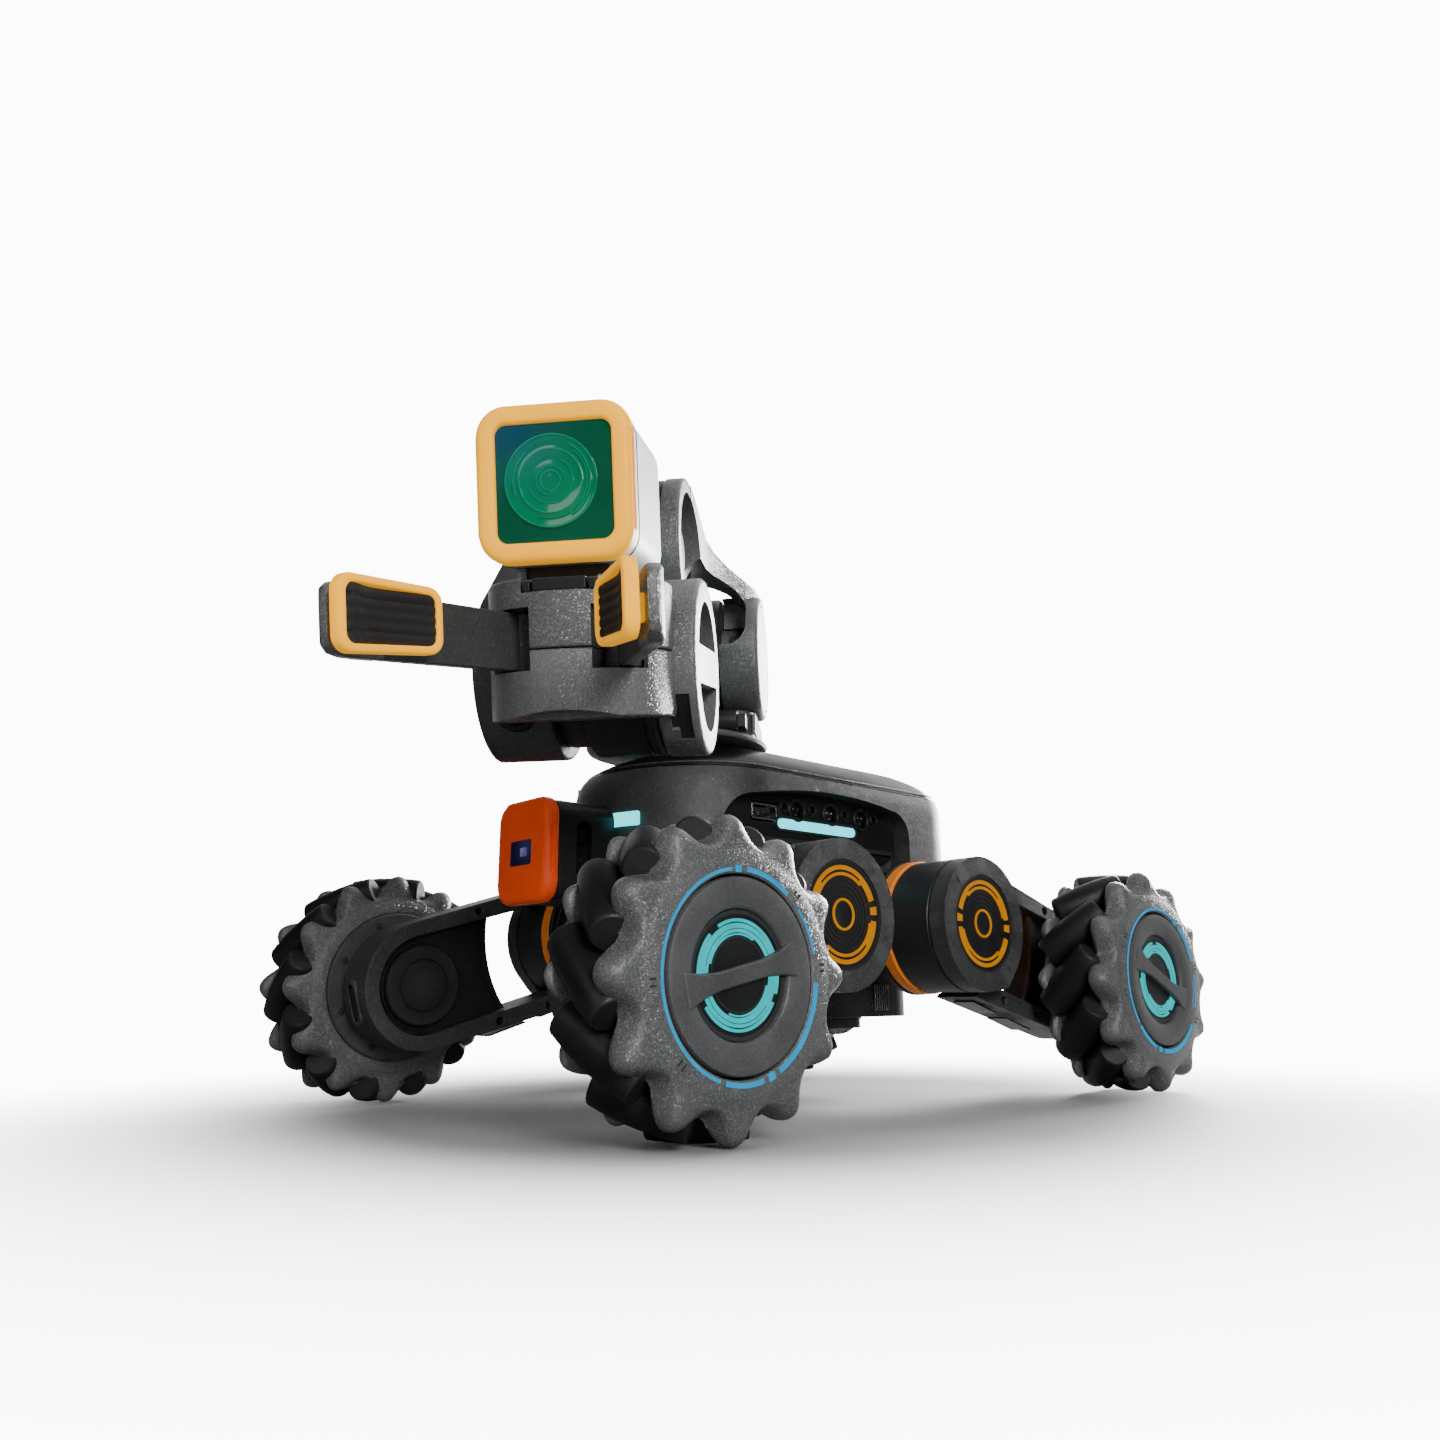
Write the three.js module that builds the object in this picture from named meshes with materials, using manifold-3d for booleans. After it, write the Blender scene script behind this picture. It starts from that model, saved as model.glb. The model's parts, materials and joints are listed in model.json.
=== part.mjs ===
// Four-wheeled coding robot: mecanum wheels on servo-driven legs, a central controller body,
// a range sensor in front and a turning arm that carries a camera and a two-finger gripper.
// Millimetres, +Z up, the front is -Y. Shapes are written with heights above the ground; the last lines
// drop the part so that its origin is the middle of the flat face under the battery pack.
import * as THREE from 'three';
import { mergeVertices } from 'three/addons/utils/BufferGeometryUtils.js';
import Module from 'manifold-3d';

const wasm = await Module();
wasm.setup();

// ---------------------------------------------------------------- driving dimensions
const GAP = 0.3; // clearance between neighbouring pieces
const UNDERSIDE = 28; // height of the flat face under the battery pack, above the ground
const ROUND = 24; // sides of a large round piece
const SMALL_ROUND = 16; // sides of a small round piece

const WHEEL = { radius: 48, y: 127.5, inner: 92, outer: 128, lobes: 12, hub: 30.5 };
const ROLLER = { pitchRadius: 40.6, radius: 7.4, endRadius: 5.4, halfLength: 14, x: 106.3 };
const HIP = { y: 44, z: 71, radius: 28, collarX: 58, bodyX: 64.3, faceX: 93.6 };
// The face cap of a hip servo has a lug that points down and to the wheel.
const HIP_CAP = { x0: 86, lugY: 13.4, lugDrop: 24.9, lugRadius: 5.5 };
const LEG = { x0: 64.6, x1: 84.6, wheelEndRadius: 26.5, barStart: 14, wall: 6 };
const LEG_WEB = { x0: 70.5, x1: 79.5, hipArc: 54 }; // thin web that closes the wheel end of the frame
const MOTOR = { radius: 16.5, x0: 66.6, flangeX: 84.9, flange: 24, flangeEnd: 89.8, nose: 19.5, x1: 94.5 };
const SHAFT = { radius: 4, end: 110 };

const BODY = { halfX: 50, front: -89, noseY: -38, rear: 90, corner: 21, bottom: 99, top: 146.3 };
const SHELL_TOP = 132.5; // where the side shell ends and the black cover begins
const NOSE_SEAM = -67.5; // in front of this line the cover reaches down to the chassis
// Height of each level of the body skin, with how far its sides and its front are drawn in.
const SKIN = [
  [99, 0, 0],
  [124, 0, 0],
  [SHELL_TOP, 0.8, 4],
  [137, 3.5, 10],
  [141.5, 9, 21],
  [144.8, 16, 32],
  [146.3, 25, 45],
];
const WINDOW = { y0: -61, y1: 51, top: 127, corner: 12 };
const PANEL = { x: 41.5, thickness: 3, bottom: 102, margin: 0.5 };
const USB = { y: -33, z: 117 };
const SIDE_LIGHT = { y0: -25, y1: 23, z: 113 };
const FRONT_LIGHT = { z0: 108.3, z1: 114.7, spread: 27 }; // spread is degrees to each side
const SENSOR = { halfX: 17.7, z0: 77, z1: 117.5, front: -124.8, cap: 6, back: -92 };

const ARM = { x: 0, y: -46, yaw: THREE.MathUtils.degToRad(40.6) };
const TURNTABLE = { radius: 40, z0: 146.6, z1: 150.3, columnTop: 160.5 };
const SERVO_RADIUS = 27.5; // arm servo bodies
const PLATE_RADIUS = 28; // round ends of the arm links
const SHOULDER = { f: 0, z: 189 }; // f is the reach in front of the turning axis
const ELBOW = { f: 81.6, z: 207.5 };
const WRIST = { f: 139.6, z: 143.1 };
// The upper link: a deep disc at the shoulder, a thin ring at the elbow, and a bar that steps outwards.
const LINK = { inner: 22, outer: 39.5, ringInner: 11.4, ringOuter: 18.6, bore: 21 };
const LINK_NOTCH = { x: 33.5, z0: 188, z1: 204, y: -4 };
const SHOULDER_CAP = { radius: 14, end: 32.5 };
const GRIPPER_PITCH = THREE.MathUtils.degToRad(13.1); // nose down
const DRUM = { f: 29.7, radius: 26.7, bottom: -16, parting: 3, top: 22.8 };
const FINGER = { f: 41, x: 14.5, angle: THREE.MathUtils.degToRad(17.8), length: 78.5, u0: -2.2, u1: 14 };
const PAD = { reach: 64.5, offset: 8.1, tilt: THREE.MathUtils.degToRad(9), half: 15, thick: 3.4 };
const CAMERA = { half: 21.7, back: 9, front: 57.5, bezel: 6, bottom: 26.2, window: 16.3, lensU: 48.1 };

// ---------------------------------------------------------------- materials
const paint = (color, roughness, metalness = 0) =>
  new THREE.MeshStandardMaterial({ color, roughness, metalness });
const charcoal = () => paint(0x4b4e4e, 0.6);
const black = () => paint(0x191a1b, 0.45);
const rubber = () => paint(0x151515, 0.75);
const amber = () => paint(0xf8b95f, 0.5);
const orange = () => paint(0xd9561f, 0.5);
const glow = () => paint(0x9ff4ff, 0.3);

// ---------------------------------------------------------------- solid helpers
function toSolid(geometry) {
  const bare = geometry.clone();
  bare.deleteAttribute('normal');
  bare.deleteAttribute('uv');
  const welded = mergeVertices(bare, 1e-4);
  return new wasm.Manifold(
    new wasm.Mesh({
      numProp: 3,
      vertProperties: Float32Array.from(welded.attributes.position.array),
      triVerts: Uint32Array.from(welded.index.array),
    }),
  );
}

function toMesh(name, solid, material) {
  const { vertProperties, triVerts } = solid.getMesh();
  const geometry = new THREE.BufferGeometry();
  geometry.setAttribute('position', new THREE.BufferAttribute(vertProperties, 3));
  geometry.setIndex(new THREE.BufferAttribute(triVerts, 1));
  geometry.computeVertexNormals();
  const mesh = new THREE.Mesh(geometry, material);
  mesh.name = name;
  return mesh;
}

const join = (...solids) => solids.reduce((a, b) => a.add(b));
const cut = (solid, ...tools) => tools.reduce((a, b) => a.subtract(b), solid);

// A box between two corners.
function box(x0, x1, y0, y1, z0, z1) {
  const geometry = new THREE.BoxGeometry(x1 - x0, y1 - y0, z1 - z0);
  geometry.translate((x0 + x1) / 2, (y0 + y1) / 2, (z0 + z1) / 2);
  return toSolid(geometry);
}

// A rod along X from x0 to x1, with its axis through (y, z).
function rodX(radius, x0, x1, y, z, sides = ROUND) {
  const geometry = new THREE.CylinderGeometry(radius, radius, x1 - x0, sides);
  geometry.rotateZ(-Math.PI / 2);
  geometry.translate((x0 + x1) / 2, y, z);
  return toSolid(geometry);
}

// A rod along Z from z0 to z1.
function rodZ(radius, z0, z1, x, y, sides = ROUND) {
  const geometry = new THREE.CylinderGeometry(radius, radius, z1 - z0, sides);
  geometry.rotateX(Math.PI / 2);
  geometry.translate(x, y, (z0 + z1) / 2);
  return toSolid(geometry);
}

// A flat shape in the YZ plane pushed along X from x0 to x1.
function plateX(shape, x0, x1, segments = 6) {
  const geometry = new THREE.ExtrudeGeometry(shape, {
    depth: x1 - x0,
    bevelEnabled: false,
    curveSegments: segments,
  });
  const turn = new THREE.Matrix4().makeBasis(
    new THREE.Vector3(0, 1, 0),
    new THREE.Vector3(0, 0, 1),
    new THREE.Vector3(1, 0, 0),
  );
  geometry.applyMatrix4(turn);
  geometry.translate(x0, 0, 0);
  return toSolid(geometry);
}

// A flat shape in the XY plane pushed up along Z.
function plateZ(shape, z0, z1, segments = 6) {
  const geometry = new THREE.ExtrudeGeometry(shape, {
    depth: z1 - z0,
    bevelEnabled: false,
    curveSegments: segments,
  });
  geometry.translate(0, 0, z0);
  return toSolid(geometry);
}

// A flat shape drawn as (x, z) pushed along Y from y0 to y1.
function plateY(shape, y0, y1, segments = 6) {
  const geometry = new THREE.ExtrudeGeometry(shape, {
    depth: y1 - y0,
    bevelEnabled: false,
    curveSegments: segments,
  });
  geometry.rotateX(Math.PI / 2);
  geometry.translate(0, y1, 0);
  return toSolid(geometry);
}

// A profile of [distance along X, radius] points turned about the X axis through (y, z).
function turnedX(profile, y, z, sides = ROUND) {
  const points = profile.map(([x, r]) => new THREE.Vector2(r, x));
  const geometry = new THREE.LatheGeometry(points, sides);
  geometry.rotateZ(-Math.PI / 2);
  geometry.translate(0, y, z);
  const solid = toSolid(geometry);
  return solid;
}

// The same turned profile, or the same span along X, on the other side of the robot.
function mirrored(profile, sideX) {
  return sideX > 0 ? profile : profile.map(([x, r]) => [-x, r]).reverse();
}

const alongX = ([near, far], sideX) => (sideX > 0 ? [near, far] : [-far, -near]);

function polygon(points) {
  return new THREE.Shape(points.map(([a, b]) => new THREE.Vector2(a, b)));
}

function roundedRectangle(x0, x1, y0, y1, r) {
  const shape = new THREE.Shape();
  shape.moveTo(x0 + r, y0);
  shape.lineTo(x1 - r, y0);
  shape.absarc(x1 - r, y0 + r, r, -Math.PI / 2, 0, false);
  shape.lineTo(x1, y1 - r);
  shape.absarc(x1 - r, y1 - r, r, 0, Math.PI / 2, false);
  shape.lineTo(x0 + r, y1);
  shape.absarc(x0 + r, y1 - r, r, Math.PI / 2, Math.PI, false);
  shape.lineTo(x0, y0 + r);
  shape.absarc(x0 + r, y0 + r, r, Math.PI, Math.PI * 1.5, false);
  return shape;
}

// The outline that wraps two circles, as a polygon.
function racetrack(a, ra, b, rb, steps = 12) {
  const reach = Math.hypot(b[0] - a[0], b[1] - a[1]);
  const heading = Math.atan2(b[1] - a[1], b[0] - a[0]);
  const lean = Math.acos((ra - rb) / reach);
  const points = [];
  for (let i = 0; i <= steps; i += 1) {
    const t = heading + lean + ((2 * Math.PI - 2 * lean) * i) / steps;
    points.push([a[0] + ra * Math.cos(t), a[1] + ra * Math.sin(t)]);
  }
  for (let i = 0; i <= steps; i += 1) {
    const t = heading - lean + (2 * lean * i) / steps;
    points.push([b[0] + rb * Math.cos(t), b[1] + rb * Math.sin(t)]);
  }
  return polygon(points);
}

// The robot is drawn with the ground at zero, then lowered so that the origin is on its underside.
const robot = new THREE.Group();
robot.position.z = -UNDERSIDE;
const add = (name, solid, material, group = robot) => group.add(toMesh(name, solid, material));

// ---------------------------------------------------------------- body
function chassisFrame() {
  const deck = plateZ(roundedRectangle(-40, 40, -72, 72, 12), 58, 98);
  const inboard = 36;
  const outboard = HIP.collarX - GAP;
  const pads = [-1, 1].flatMap((end) => [
    rodX(24, inboard, outboard, end * HIP.y, HIP.z),
    rodX(24, -outboard, -inboard, end * HIP.y, HIP.z),
  ]);
  return join(deck, ...pads);
}

function windowOutline(margin, bottom) {
  const { y0, y1, top, corner } = WINDOW;
  return roundedRectangle(y0 + margin, y1 - margin, bottom, top - margin, corner - margin);
}

// Plan outline of the body: a half-round nose in front and rounded corners at the rear.
function bodyOutline(side, front) {
  const points = [];
  const halfX = BODY.halfX - side;
  const reach = BODY.noseY - (BODY.front + front);
  const arc = 14;
  for (let i = 0; i <= arc; i += 1) {
    const t = Math.PI + (Math.PI * i) / arc;
    points.push([halfX * Math.cos(t), BODY.noseY + reach * Math.sin(t)]);
  }
  const r = BODY.corner - side * 0.5;
  const rearY = BODY.rear - side * 1.8 - r;
  const steps = 4;
  for (const [x, start] of [[halfX - r, 0], [r - halfX, Math.PI / 2]]) {
    for (let i = 0; i <= steps; i += 1) {
      const t = start + (Math.PI / 2 / steps) * i;
      points.push([x + r * Math.cos(t), rearY + r * Math.sin(t)]);
    }
  }
  return points;
}

// One closed skin through the levels, each drawn in from the one below.
function bodySkin(levels) {
  const rings = levels.map(([z, side, front]) => bodyOutline(side, front).map(([x, y]) => [x, y, z]));
  const count = rings[0].length;
  const top = (rings.length - 1) * count;
  const faces = [];
  for (let level = 0; level + 1 < rings.length; level += 1) {
    for (let i = 0; i < count; i += 1) {
      const a = level * count + i;
      const b = level * count + ((i + 1) % count);
      faces.push(a, b, a + count, b, b + count, a + count);
    }
  }
  for (let i = 1; i + 1 < count; i += 1) {
    faces.push(0, i + 1, i);
    faces.push(top, top + i, top + i + 1);
  }
  const geometry = new THREE.BufferGeometry();
  geometry.setAttribute('position', new THREE.Float32BufferAttribute(rings.flat(2), 3));
  geometry.setIndex(faces);
  return toSolid(geometry);
}

function bodyShell() {
  const { halfX, rear, corner, bottom } = BODY;
  const wall = 2.2;
  const seat = PANEL.x - PANEL.thickness - GAP;
  const inside = roundedRectangle(wall - seat, seat - wall, NOSE_SEAM - 9, rear - 4, corner - 6);
  const opening = windowOutline(0, bottom - 30);
  return cut(
    bodySkin(SKIN.slice(0, 3)),
    plateZ(inside, bottom - 1, SHELL_TOP - 3),
    box(-60, 60, BODY.front - 1, NOSE_SEAM, bottom - 1, SHELL_TOP + 1),
    plateX(opening, -halfX - 1, -seat),
    plateX(opening, seat, halfX + 1),
    rodZ(12, SHELL_TOP - 10, SHELL_TOP + 1, ARM.x, ARM.y),
    box(20, seat + 1, USB.y - 8, USB.y + 8, USB.z - 4, USB.z + 4),
  );
}

function topCover() {
  const { bottom, top } = BODY;
  const below = box(-60, 60, NOSE_SEAM - GAP, 100, bottom - 1, SHELL_TOP + GAP);
  const noseRoom = box(-30, 30, BODY.front + 12, NOSE_SEAM, bottom - 1, SHELL_TOP - 8);
  const neck = rodZ(12, SHELL_TOP - 1, top + 1, ARM.x, ARM.y);
  return cut(bodySkin(SKIN), below, noseRoom, neck, buttonWell());
}

const BUTTON = { x: 14, y: 52, radius: 7, travel: 1.5 };

function buttonWell() {
  return rodZ(BUTTON.radius + 0.5, BODY.top - 4, BODY.top + 1, BUTTON.x, BUTTON.y, SMALL_ROUND);
}

function portPanel(side) {
  const span = alongX([PANEL.x - PANEL.thickness, PANEL.x], side);
  let panel = plateX(windowOutline(PANEL.margin, PANEL.bottom), ...span, 4);
  for (const y of [-14, 7.5, 27]) {
    panel = cut(panel, rodX(3.6, span[0] - 1, span[1] + 1, y, 119.5, SMALL_ROUND));
  }
  if (side > 0) {
    panel = cut(panel, box(span[0] - 1, span[1] + 1, USB.y - 8, USB.y + 8, USB.z - 4, USB.z + 4));
  }
  const { y0, y1, z } = SIDE_LIGHT;
  return cut(panel, box(span[0] - 1, span[1] + 1, y0 - 0.5, y1 + 0.5, z - 2.5, z + 2.5));
}

function usbPort() {
  const shell = box(28, PANEL.x - 0.4, USB.y - 7.3, USB.y + 7.3, USB.z - 3.3, USB.z + 3.3);
  const mouth = box(33, PANEL.x + 1, USB.y - 6.6, USB.y + 6.6, USB.z - 2.6, USB.z + 2.6);
  const tongue = box(31, PANEL.x - 2, USB.y - 5, USB.y + 5, USB.z + 0.4, USB.z + 2);
  return join(cut(shell, mouth), tongue);
}

function sideLight(side) {
  const span = alongX([PANEL.x - 2.5, PANEL.x + 0.8], side);
  const { y0, y1, z } = SIDE_LIGHT;
  return plateX(roundedRectangle(y0, y1, z - 2, z + 2, 1.9), ...span, 3);
}

function controllerBoard() {
  const board = box(-32, 32, -60, 60, 101, 102.6);
  const processor = box(-14, 14, -20, 8, 102.4, 106);
  const connectors = [-26, 36].map((y) => box(10, 28, y, y + 12, 102.4, 110));
  return join(board, processor, ...connectors);
}

function batteryPack() {
  const pack = plateZ(roundedRectangle(-35, 35, -66, 72, 17), 33, 49, 4);
  const neck = box(-25, 25, -55, 60, 48, 58 - GAP);
  const foot = plateZ(roundedRectangle(-22, 22, -40, 50, 8), UNDERSIDE, 34, 4);
  return join(pack, neck, foot);
}

add('chassis_frame', chassisFrame(), black());
add('body_shell', bodyShell(), charcoal());
add('top_cover', topCover(), black());
add('port_panel_left', portPanel(1), black());
add('port_panel_right', portPanel(-1), black());
add('usb_port', usbPort(), paint(0x8a8c8e, 0.35, 0.9));
add('side_light_left', sideLight(1), glow());
add('side_light_right', sideLight(-1), glow());
add('controller_board', controllerBoard(), paint(0x1d5a3a, 0.5));
add('battery_pack', batteryPack(), black());

// The light bar follows the round nose.
function frontLight() {
  const strip = new THREE.Shape();
  const radius = BODY.noseY - BODY.front;
  const spread = THREE.MathUtils.degToRad(FRONT_LIGHT.spread);
  strip.absarc(0, BODY.noseY, radius + 1.4, -Math.PI / 2 - spread, -Math.PI / 2 + spread, false);
  strip.absarc(0, BODY.noseY, radius + GAP, -Math.PI / 2 + spread, -Math.PI / 2 - spread, true);
  return plateZ(strip, FRONT_LIGHT.z0, FRONT_LIGHT.z1, 8);
}

add('front_light', frontLight(), glow());
add(
  'power_button',
  rodZ(BUTTON.radius, BODY.top - 1.8, BODY.top + 2.2, BUTTON.x, BUTTON.y, SMALL_ROUND),
  charcoal(),
);

// The drive that turns the arm hangs under the top of the shell.
function turretServo() {
  const bodyPart = rodZ(26, 106.5, SHELL_TOP - 3 - GAP, ARM.x, ARM.y);
  const shaft = rodZ(5, SHELL_TOP - 4, TURNTABLE.z0 - GAP, ARM.x, ARM.y, SMALL_ROUND);
  const ends = [box(-40, 40, -30, 80, 100, 130), box(-40, 40, -90, NOSE_SEAM + 1, 100, 130)];
  return cut(join(bodyPart, shaft), ...ends);
}
add('turret_servo', turretServo(), black());

// ---------------------------------------------------------------- range sensor
function sensorHousing() {
  const outline = roundedRectangle(-SENSOR.halfX + 1, SENSOR.halfX - 1, SENSOR.z0 + 1, SENSOR.z1 - 1, 7);
  const shell = plateY(outline, SENSOR.front + SENSOR.cap + GAP, SENSOR.back);
  const bracket = box(-10, 10, SENSOR.back - 1, -72 - GAP, 82, 97);
  const slot = roundedRectangle(-108, -101, 88, 110, 3.4);
  return cut(join(shell, bracket), plateX(slot, SENSOR.halfX - 4, SENSOR.halfX + 1, 4));
}

function sensorCap() {
  const outline = roundedRectangle(-SENSOR.halfX, SENSOR.halfX, SENSOR.z0, SENSOR.z1, 8);
  const cap = plateY(outline, SENSOR.front, SENSOR.front + SENSOR.cap);
  return cut(cap, box(-7.6, 7.6, SENSOR.front - 1, SENSOR.front + 1.4, 91.5, 101.5));
}

add('sensor_housing', sensorHousing(), black());
add('sensor_cap', sensorCap(), orange());
const SENSOR_WINDOW = [-7.3, 7.3, SENSOR.front + 0.1, SENSOR.front + 1.1, 91.8, 101.2];
add('sensor_window', box(...SENSOR_WINDOW), paint(0x10123a, 0.1));

// ---------------------------------------------------------------- legs
function legFrame(sideX, end) {
  const hip = [end * HIP.y, HIP.z];
  const axle = [end * WHEEL.y, WHEEL.radius];
  const span = alongX([LEG.x0, LEG.x1], sideX);
  const outer = racetrack(hip, HIP.radius - 1, axle, LEG.wheelEndRadius);
  const along = new THREE.Vector2(axle[0] - hip[0], axle[1] - hip[1]).normalize();
  const at = (t, v) => [hip[0] + along.x * t - along.y * v, hip[1] + along.y * t + along.x * v];
  const room = LEG.wheelEndRadius - LEG.wall;
  const length = Math.hypot(axle[0] - hip[0], axle[1] - hip[1]);
  const slot = polygon([at(10, -room), at(length, -room), at(length, room), at(10, room)]);
  const behind = polygon([at(-40, -40), at(LEG.barStart, -40), at(LEG.barStart, 40), at(-40, 40)]);
  const through = [span[0] - 1, span[1] + 1];
  const bars = cut(
    plateX(outer, ...span),
    rodX(HIP.radius + GAP, ...through, ...hip),
    plateX(slot, ...through),
    plateX(behind, ...through),
    rodX(room, ...through, ...axle),
  );
  // The web reaches 1 mm into the bars on each side.
  const webSpan = alongX([LEG_WEB.x0, LEG_WEB.x1], sideX);
  const half = room + 1;
  const fill = polygon([at(20, -half), at(length, -half), at(length, half), at(20, half)]);
  const web = cut(
    join(plateX(fill, ...webSpan), rodX(half, ...webSpan, ...axle)),
    rodX(LEG_WEB.hipArc, ...through, ...hip),
    rodX(MOTOR.radius + GAP, ...through, ...axle),
  );
  return join(bars, web);
}

function hipServo(sideX, end) {
  const hip = [end * HIP.y, HIP.z];
  const lug = [end * (HIP.y + HIP_CAP.lugY), HIP.z - HIP_CAP.lugDrop];
  const body = rodX(HIP.radius, ...alongX([HIP.bodyX, HIP_CAP.x0 + 1], sideX), ...hip);
  const capOutline = racetrack(hip, HIP.radius, lug, HIP_CAP.lugRadius);
  const cap = plateX(capOutline, ...alongX([HIP_CAP.x0, HIP.faceX], sideX));
  const recess = rodX(20, ...alongX([HIP.faceX - 1.5, HIP.faceX + 1], sideX), ...hip);
  return cut(join(body, cap), recess);
}

function wheelMotor(sideX, end) {
  const profile = [
    [MOTOR.x0, 0],
    [MOTOR.x0, MOTOR.radius - 1],
    [MOTOR.x0 + 1, MOTOR.radius],
    [MOTOR.flangeX, MOTOR.radius],
    [MOTOR.flangeX, MOTOR.flange],
    [MOTOR.flangeEnd, MOTOR.flange],
    [MOTOR.flangeEnd, MOTOR.nose],
    [MOTOR.x1, MOTOR.nose],
    [MOTOR.x1, SHAFT.radius],
    [SHAFT.end, SHAFT.radius],
    [SHAFT.end, 0],
  ];
  return turnedX(mirrored(profile, sideX), end * WHEEL.y, WHEEL.radius, 20);
}

// ---------------------------------------------------------------- wheels
// The lobed outline of a side disc: one rounded lobe between each two rollers.
function lobedOutline(y, z) {
  const points = [];
  const tip = WHEEL.radius - 0.4;
  const lobe = [
    [-12.5, 40.5],
    [-7, 46],
    [-2, tip],
    [2, tip],
    [7, 46],
    [12.5, 40.5],
  ];
  for (let i = 0; i < WHEEL.lobes; i += 1) {
    for (const [turn, radius] of lobe) {
      const angle = THREE.MathUtils.degToRad((360 / WHEEL.lobes) * i + turn);
      points.push([y + radius * Math.cos(angle), z + radius * Math.sin(angle)]);
    }
  }
  return polygon(points);
}

const DISC = { outerBack: 117, lobeFace: 121.5, rimFace: 126.6, innerFace: 95.6 };
const COLLAR = { radius: 30, face: 90.2 }; // the raised ring on an inner disc

function outerDisc(sideX, end) {
  const y = end * WHEEL.y;
  const z = WHEEL.radius;
  const dome = [
    [DISC.outerBack, 0],
    [DISC.outerBack, WHEEL.radius + 1],
    [DISC.lobeFace, WHEEL.radius + 1],
    [DISC.rimFace, 37],
    [WHEEL.outer - 0.6, WHEEL.hub],
    [WHEEL.outer - 0.6, 0],
  ];
  const span = alongX([110, 130], sideX);
  const lobes = plateX(lobedOutline(y, z), ...span);
  const disc = turnedX(mirrored(dome, sideX), y, z).intersect(lobes);
  const recess = rodX(19, ...alongX([WHEEL.outer - 5, WHEEL.outer + 1], sideX), y, z);
  const handle = alongX([WHEEL.outer - 5.5, WHEEL.outer - 0.6], sideX);
  return join(cut(disc, recess), box(...handle, y - 20, y + 20, z - 2.8, z + 2.8));
}

function innerDisc(sideX, end) {
  const y = end * WHEEL.y;
  const z = WHEEL.radius;
  const span = alongX([WHEEL.inner, DISC.innerFace], sideX);
  const lobes = plateX(lobedOutline(y, z), ...span);
  const collar = rodX(COLLAR.radius, ...alongX([COLLAR.face, WHEEL.inner + 1], sideX), y, z);
  return cut(join(lobes, collar), rodX(MOTOR.nose + 0.7, ...alongX([85, 99], sideX), y, z));
}

// Twelve barrel rollers at 45 degrees, carried on one core. hand sets the lean of the rollers.
function rollerSet(sideX, end) {
  const y = end * WHEEL.y;
  const z = WHEEL.radius;
  const hand = -end * sideX;
  const core = [
    [DISC.innerFace + GAP, 21],
    [DISC.innerFace + GAP, 33],
    [101, 36.2],
    [111.5, 36.2],
    [DISC.outerBack - GAP, 33],
    [DISC.outerBack - GAP, 21],
  ];
  const ring = turnedX(mirrored([...core, core[0]], sideX), y, z, WHEEL.lobes);
  const barrel = [
    [-ROLLER.halfLength, 0],
    [-ROLLER.halfLength, ROLLER.endRadius],
    [0, ROLLER.radius],
    [ROLLER.halfLength, ROLLER.endRadius],
    [ROLLER.halfLength, 0],
  ].map(([t, r]) => new THREE.Vector2(r, t));
  const rollers = [];
  for (let i = 0; i < WHEEL.lobes; i += 1) {
    const angle = (2 * Math.PI * i) / WHEEL.lobes;
    const roller = new THREE.LatheGeometry(barrel, 6);
    const axis = new THREE.Vector3(sideX, -hand * sideX * Math.sin(angle), hand * sideX * Math.cos(angle));
    const turn = new THREE.Quaternion().setFromUnitVectors(new THREE.Vector3(0, 1, 0), axis.normalize());
    roller.applyQuaternion(turn);
    const r = ROLLER.pitchRadius;
    roller.translate(sideX * ROLLER.x, y + r * Math.cos(angle), z + r * Math.sin(angle));
    rollers.push(toSolid(roller));
  }
  const slab = [DISC.innerFace + GAP, DISC.outerBack - GAP];
  const tread = join(...rollers).intersect(rodX(60, ...alongX(slab, sideX), y, z, 4));
  const hubSpan = alongX([103, 111], sideX);
  const bore = rodX(5, ...alongX([102, 112], sideX), y, z, SMALL_ROUND);
  const hub = cut(rodX(23, ...hubSpan, y, z, WHEEL.lobes), bore);
  return join(ring, hub, tread);
}

const SIDES = { left: 1, right: -1 };
const ENDS = { front: -1, rear: 1 };
for (const [endName, end] of Object.entries(ENDS)) {
  for (const [sideName, sideX] of Object.entries(SIDES)) {
    const tag = `${endName}_${sideName}`;
    const collar = alongX([HIP.collarX, HIP.bodyX - GAP], sideX);
    add(`hip_collar_${tag}`, rodX(HIP.radius + 0.3, ...collar, end * HIP.y, HIP.z), orange());
    add(`hip_servo_${tag}`, hipServo(sideX, end), black());
    add(`leg_frame_${tag}`, legFrame(sideX, end), charcoal());
    add(`wheel_motor_${tag}`, wheelMotor(sideX, end), black());
    add(`wheel_outer_disc_${tag}`, outerDisc(sideX, end), charcoal());
    add(`wheel_inner_disc_${tag}`, innerDisc(sideX, end), charcoal());
    add(`wheel_rollers_${tag}`, rollerSet(sideX, end), rubber());
  }
}

// ---------------------------------------------------------------- arm
// The arm's own frame: +X is its left side, -Y is its reach, +Z is up.
const arm = new THREE.Group();
arm.position.set(ARM.x, ARM.y, 0);
arm.rotation.z = ARM.yaw;
robot.add(arm);

// A round disc about an arm joint, from side x0 to side x1.
const jointDisc = (radius, x0, x1, joint, sides = ROUND) => rodX(radius, x0, x1, -joint.f, joint.z, sides);

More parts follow.
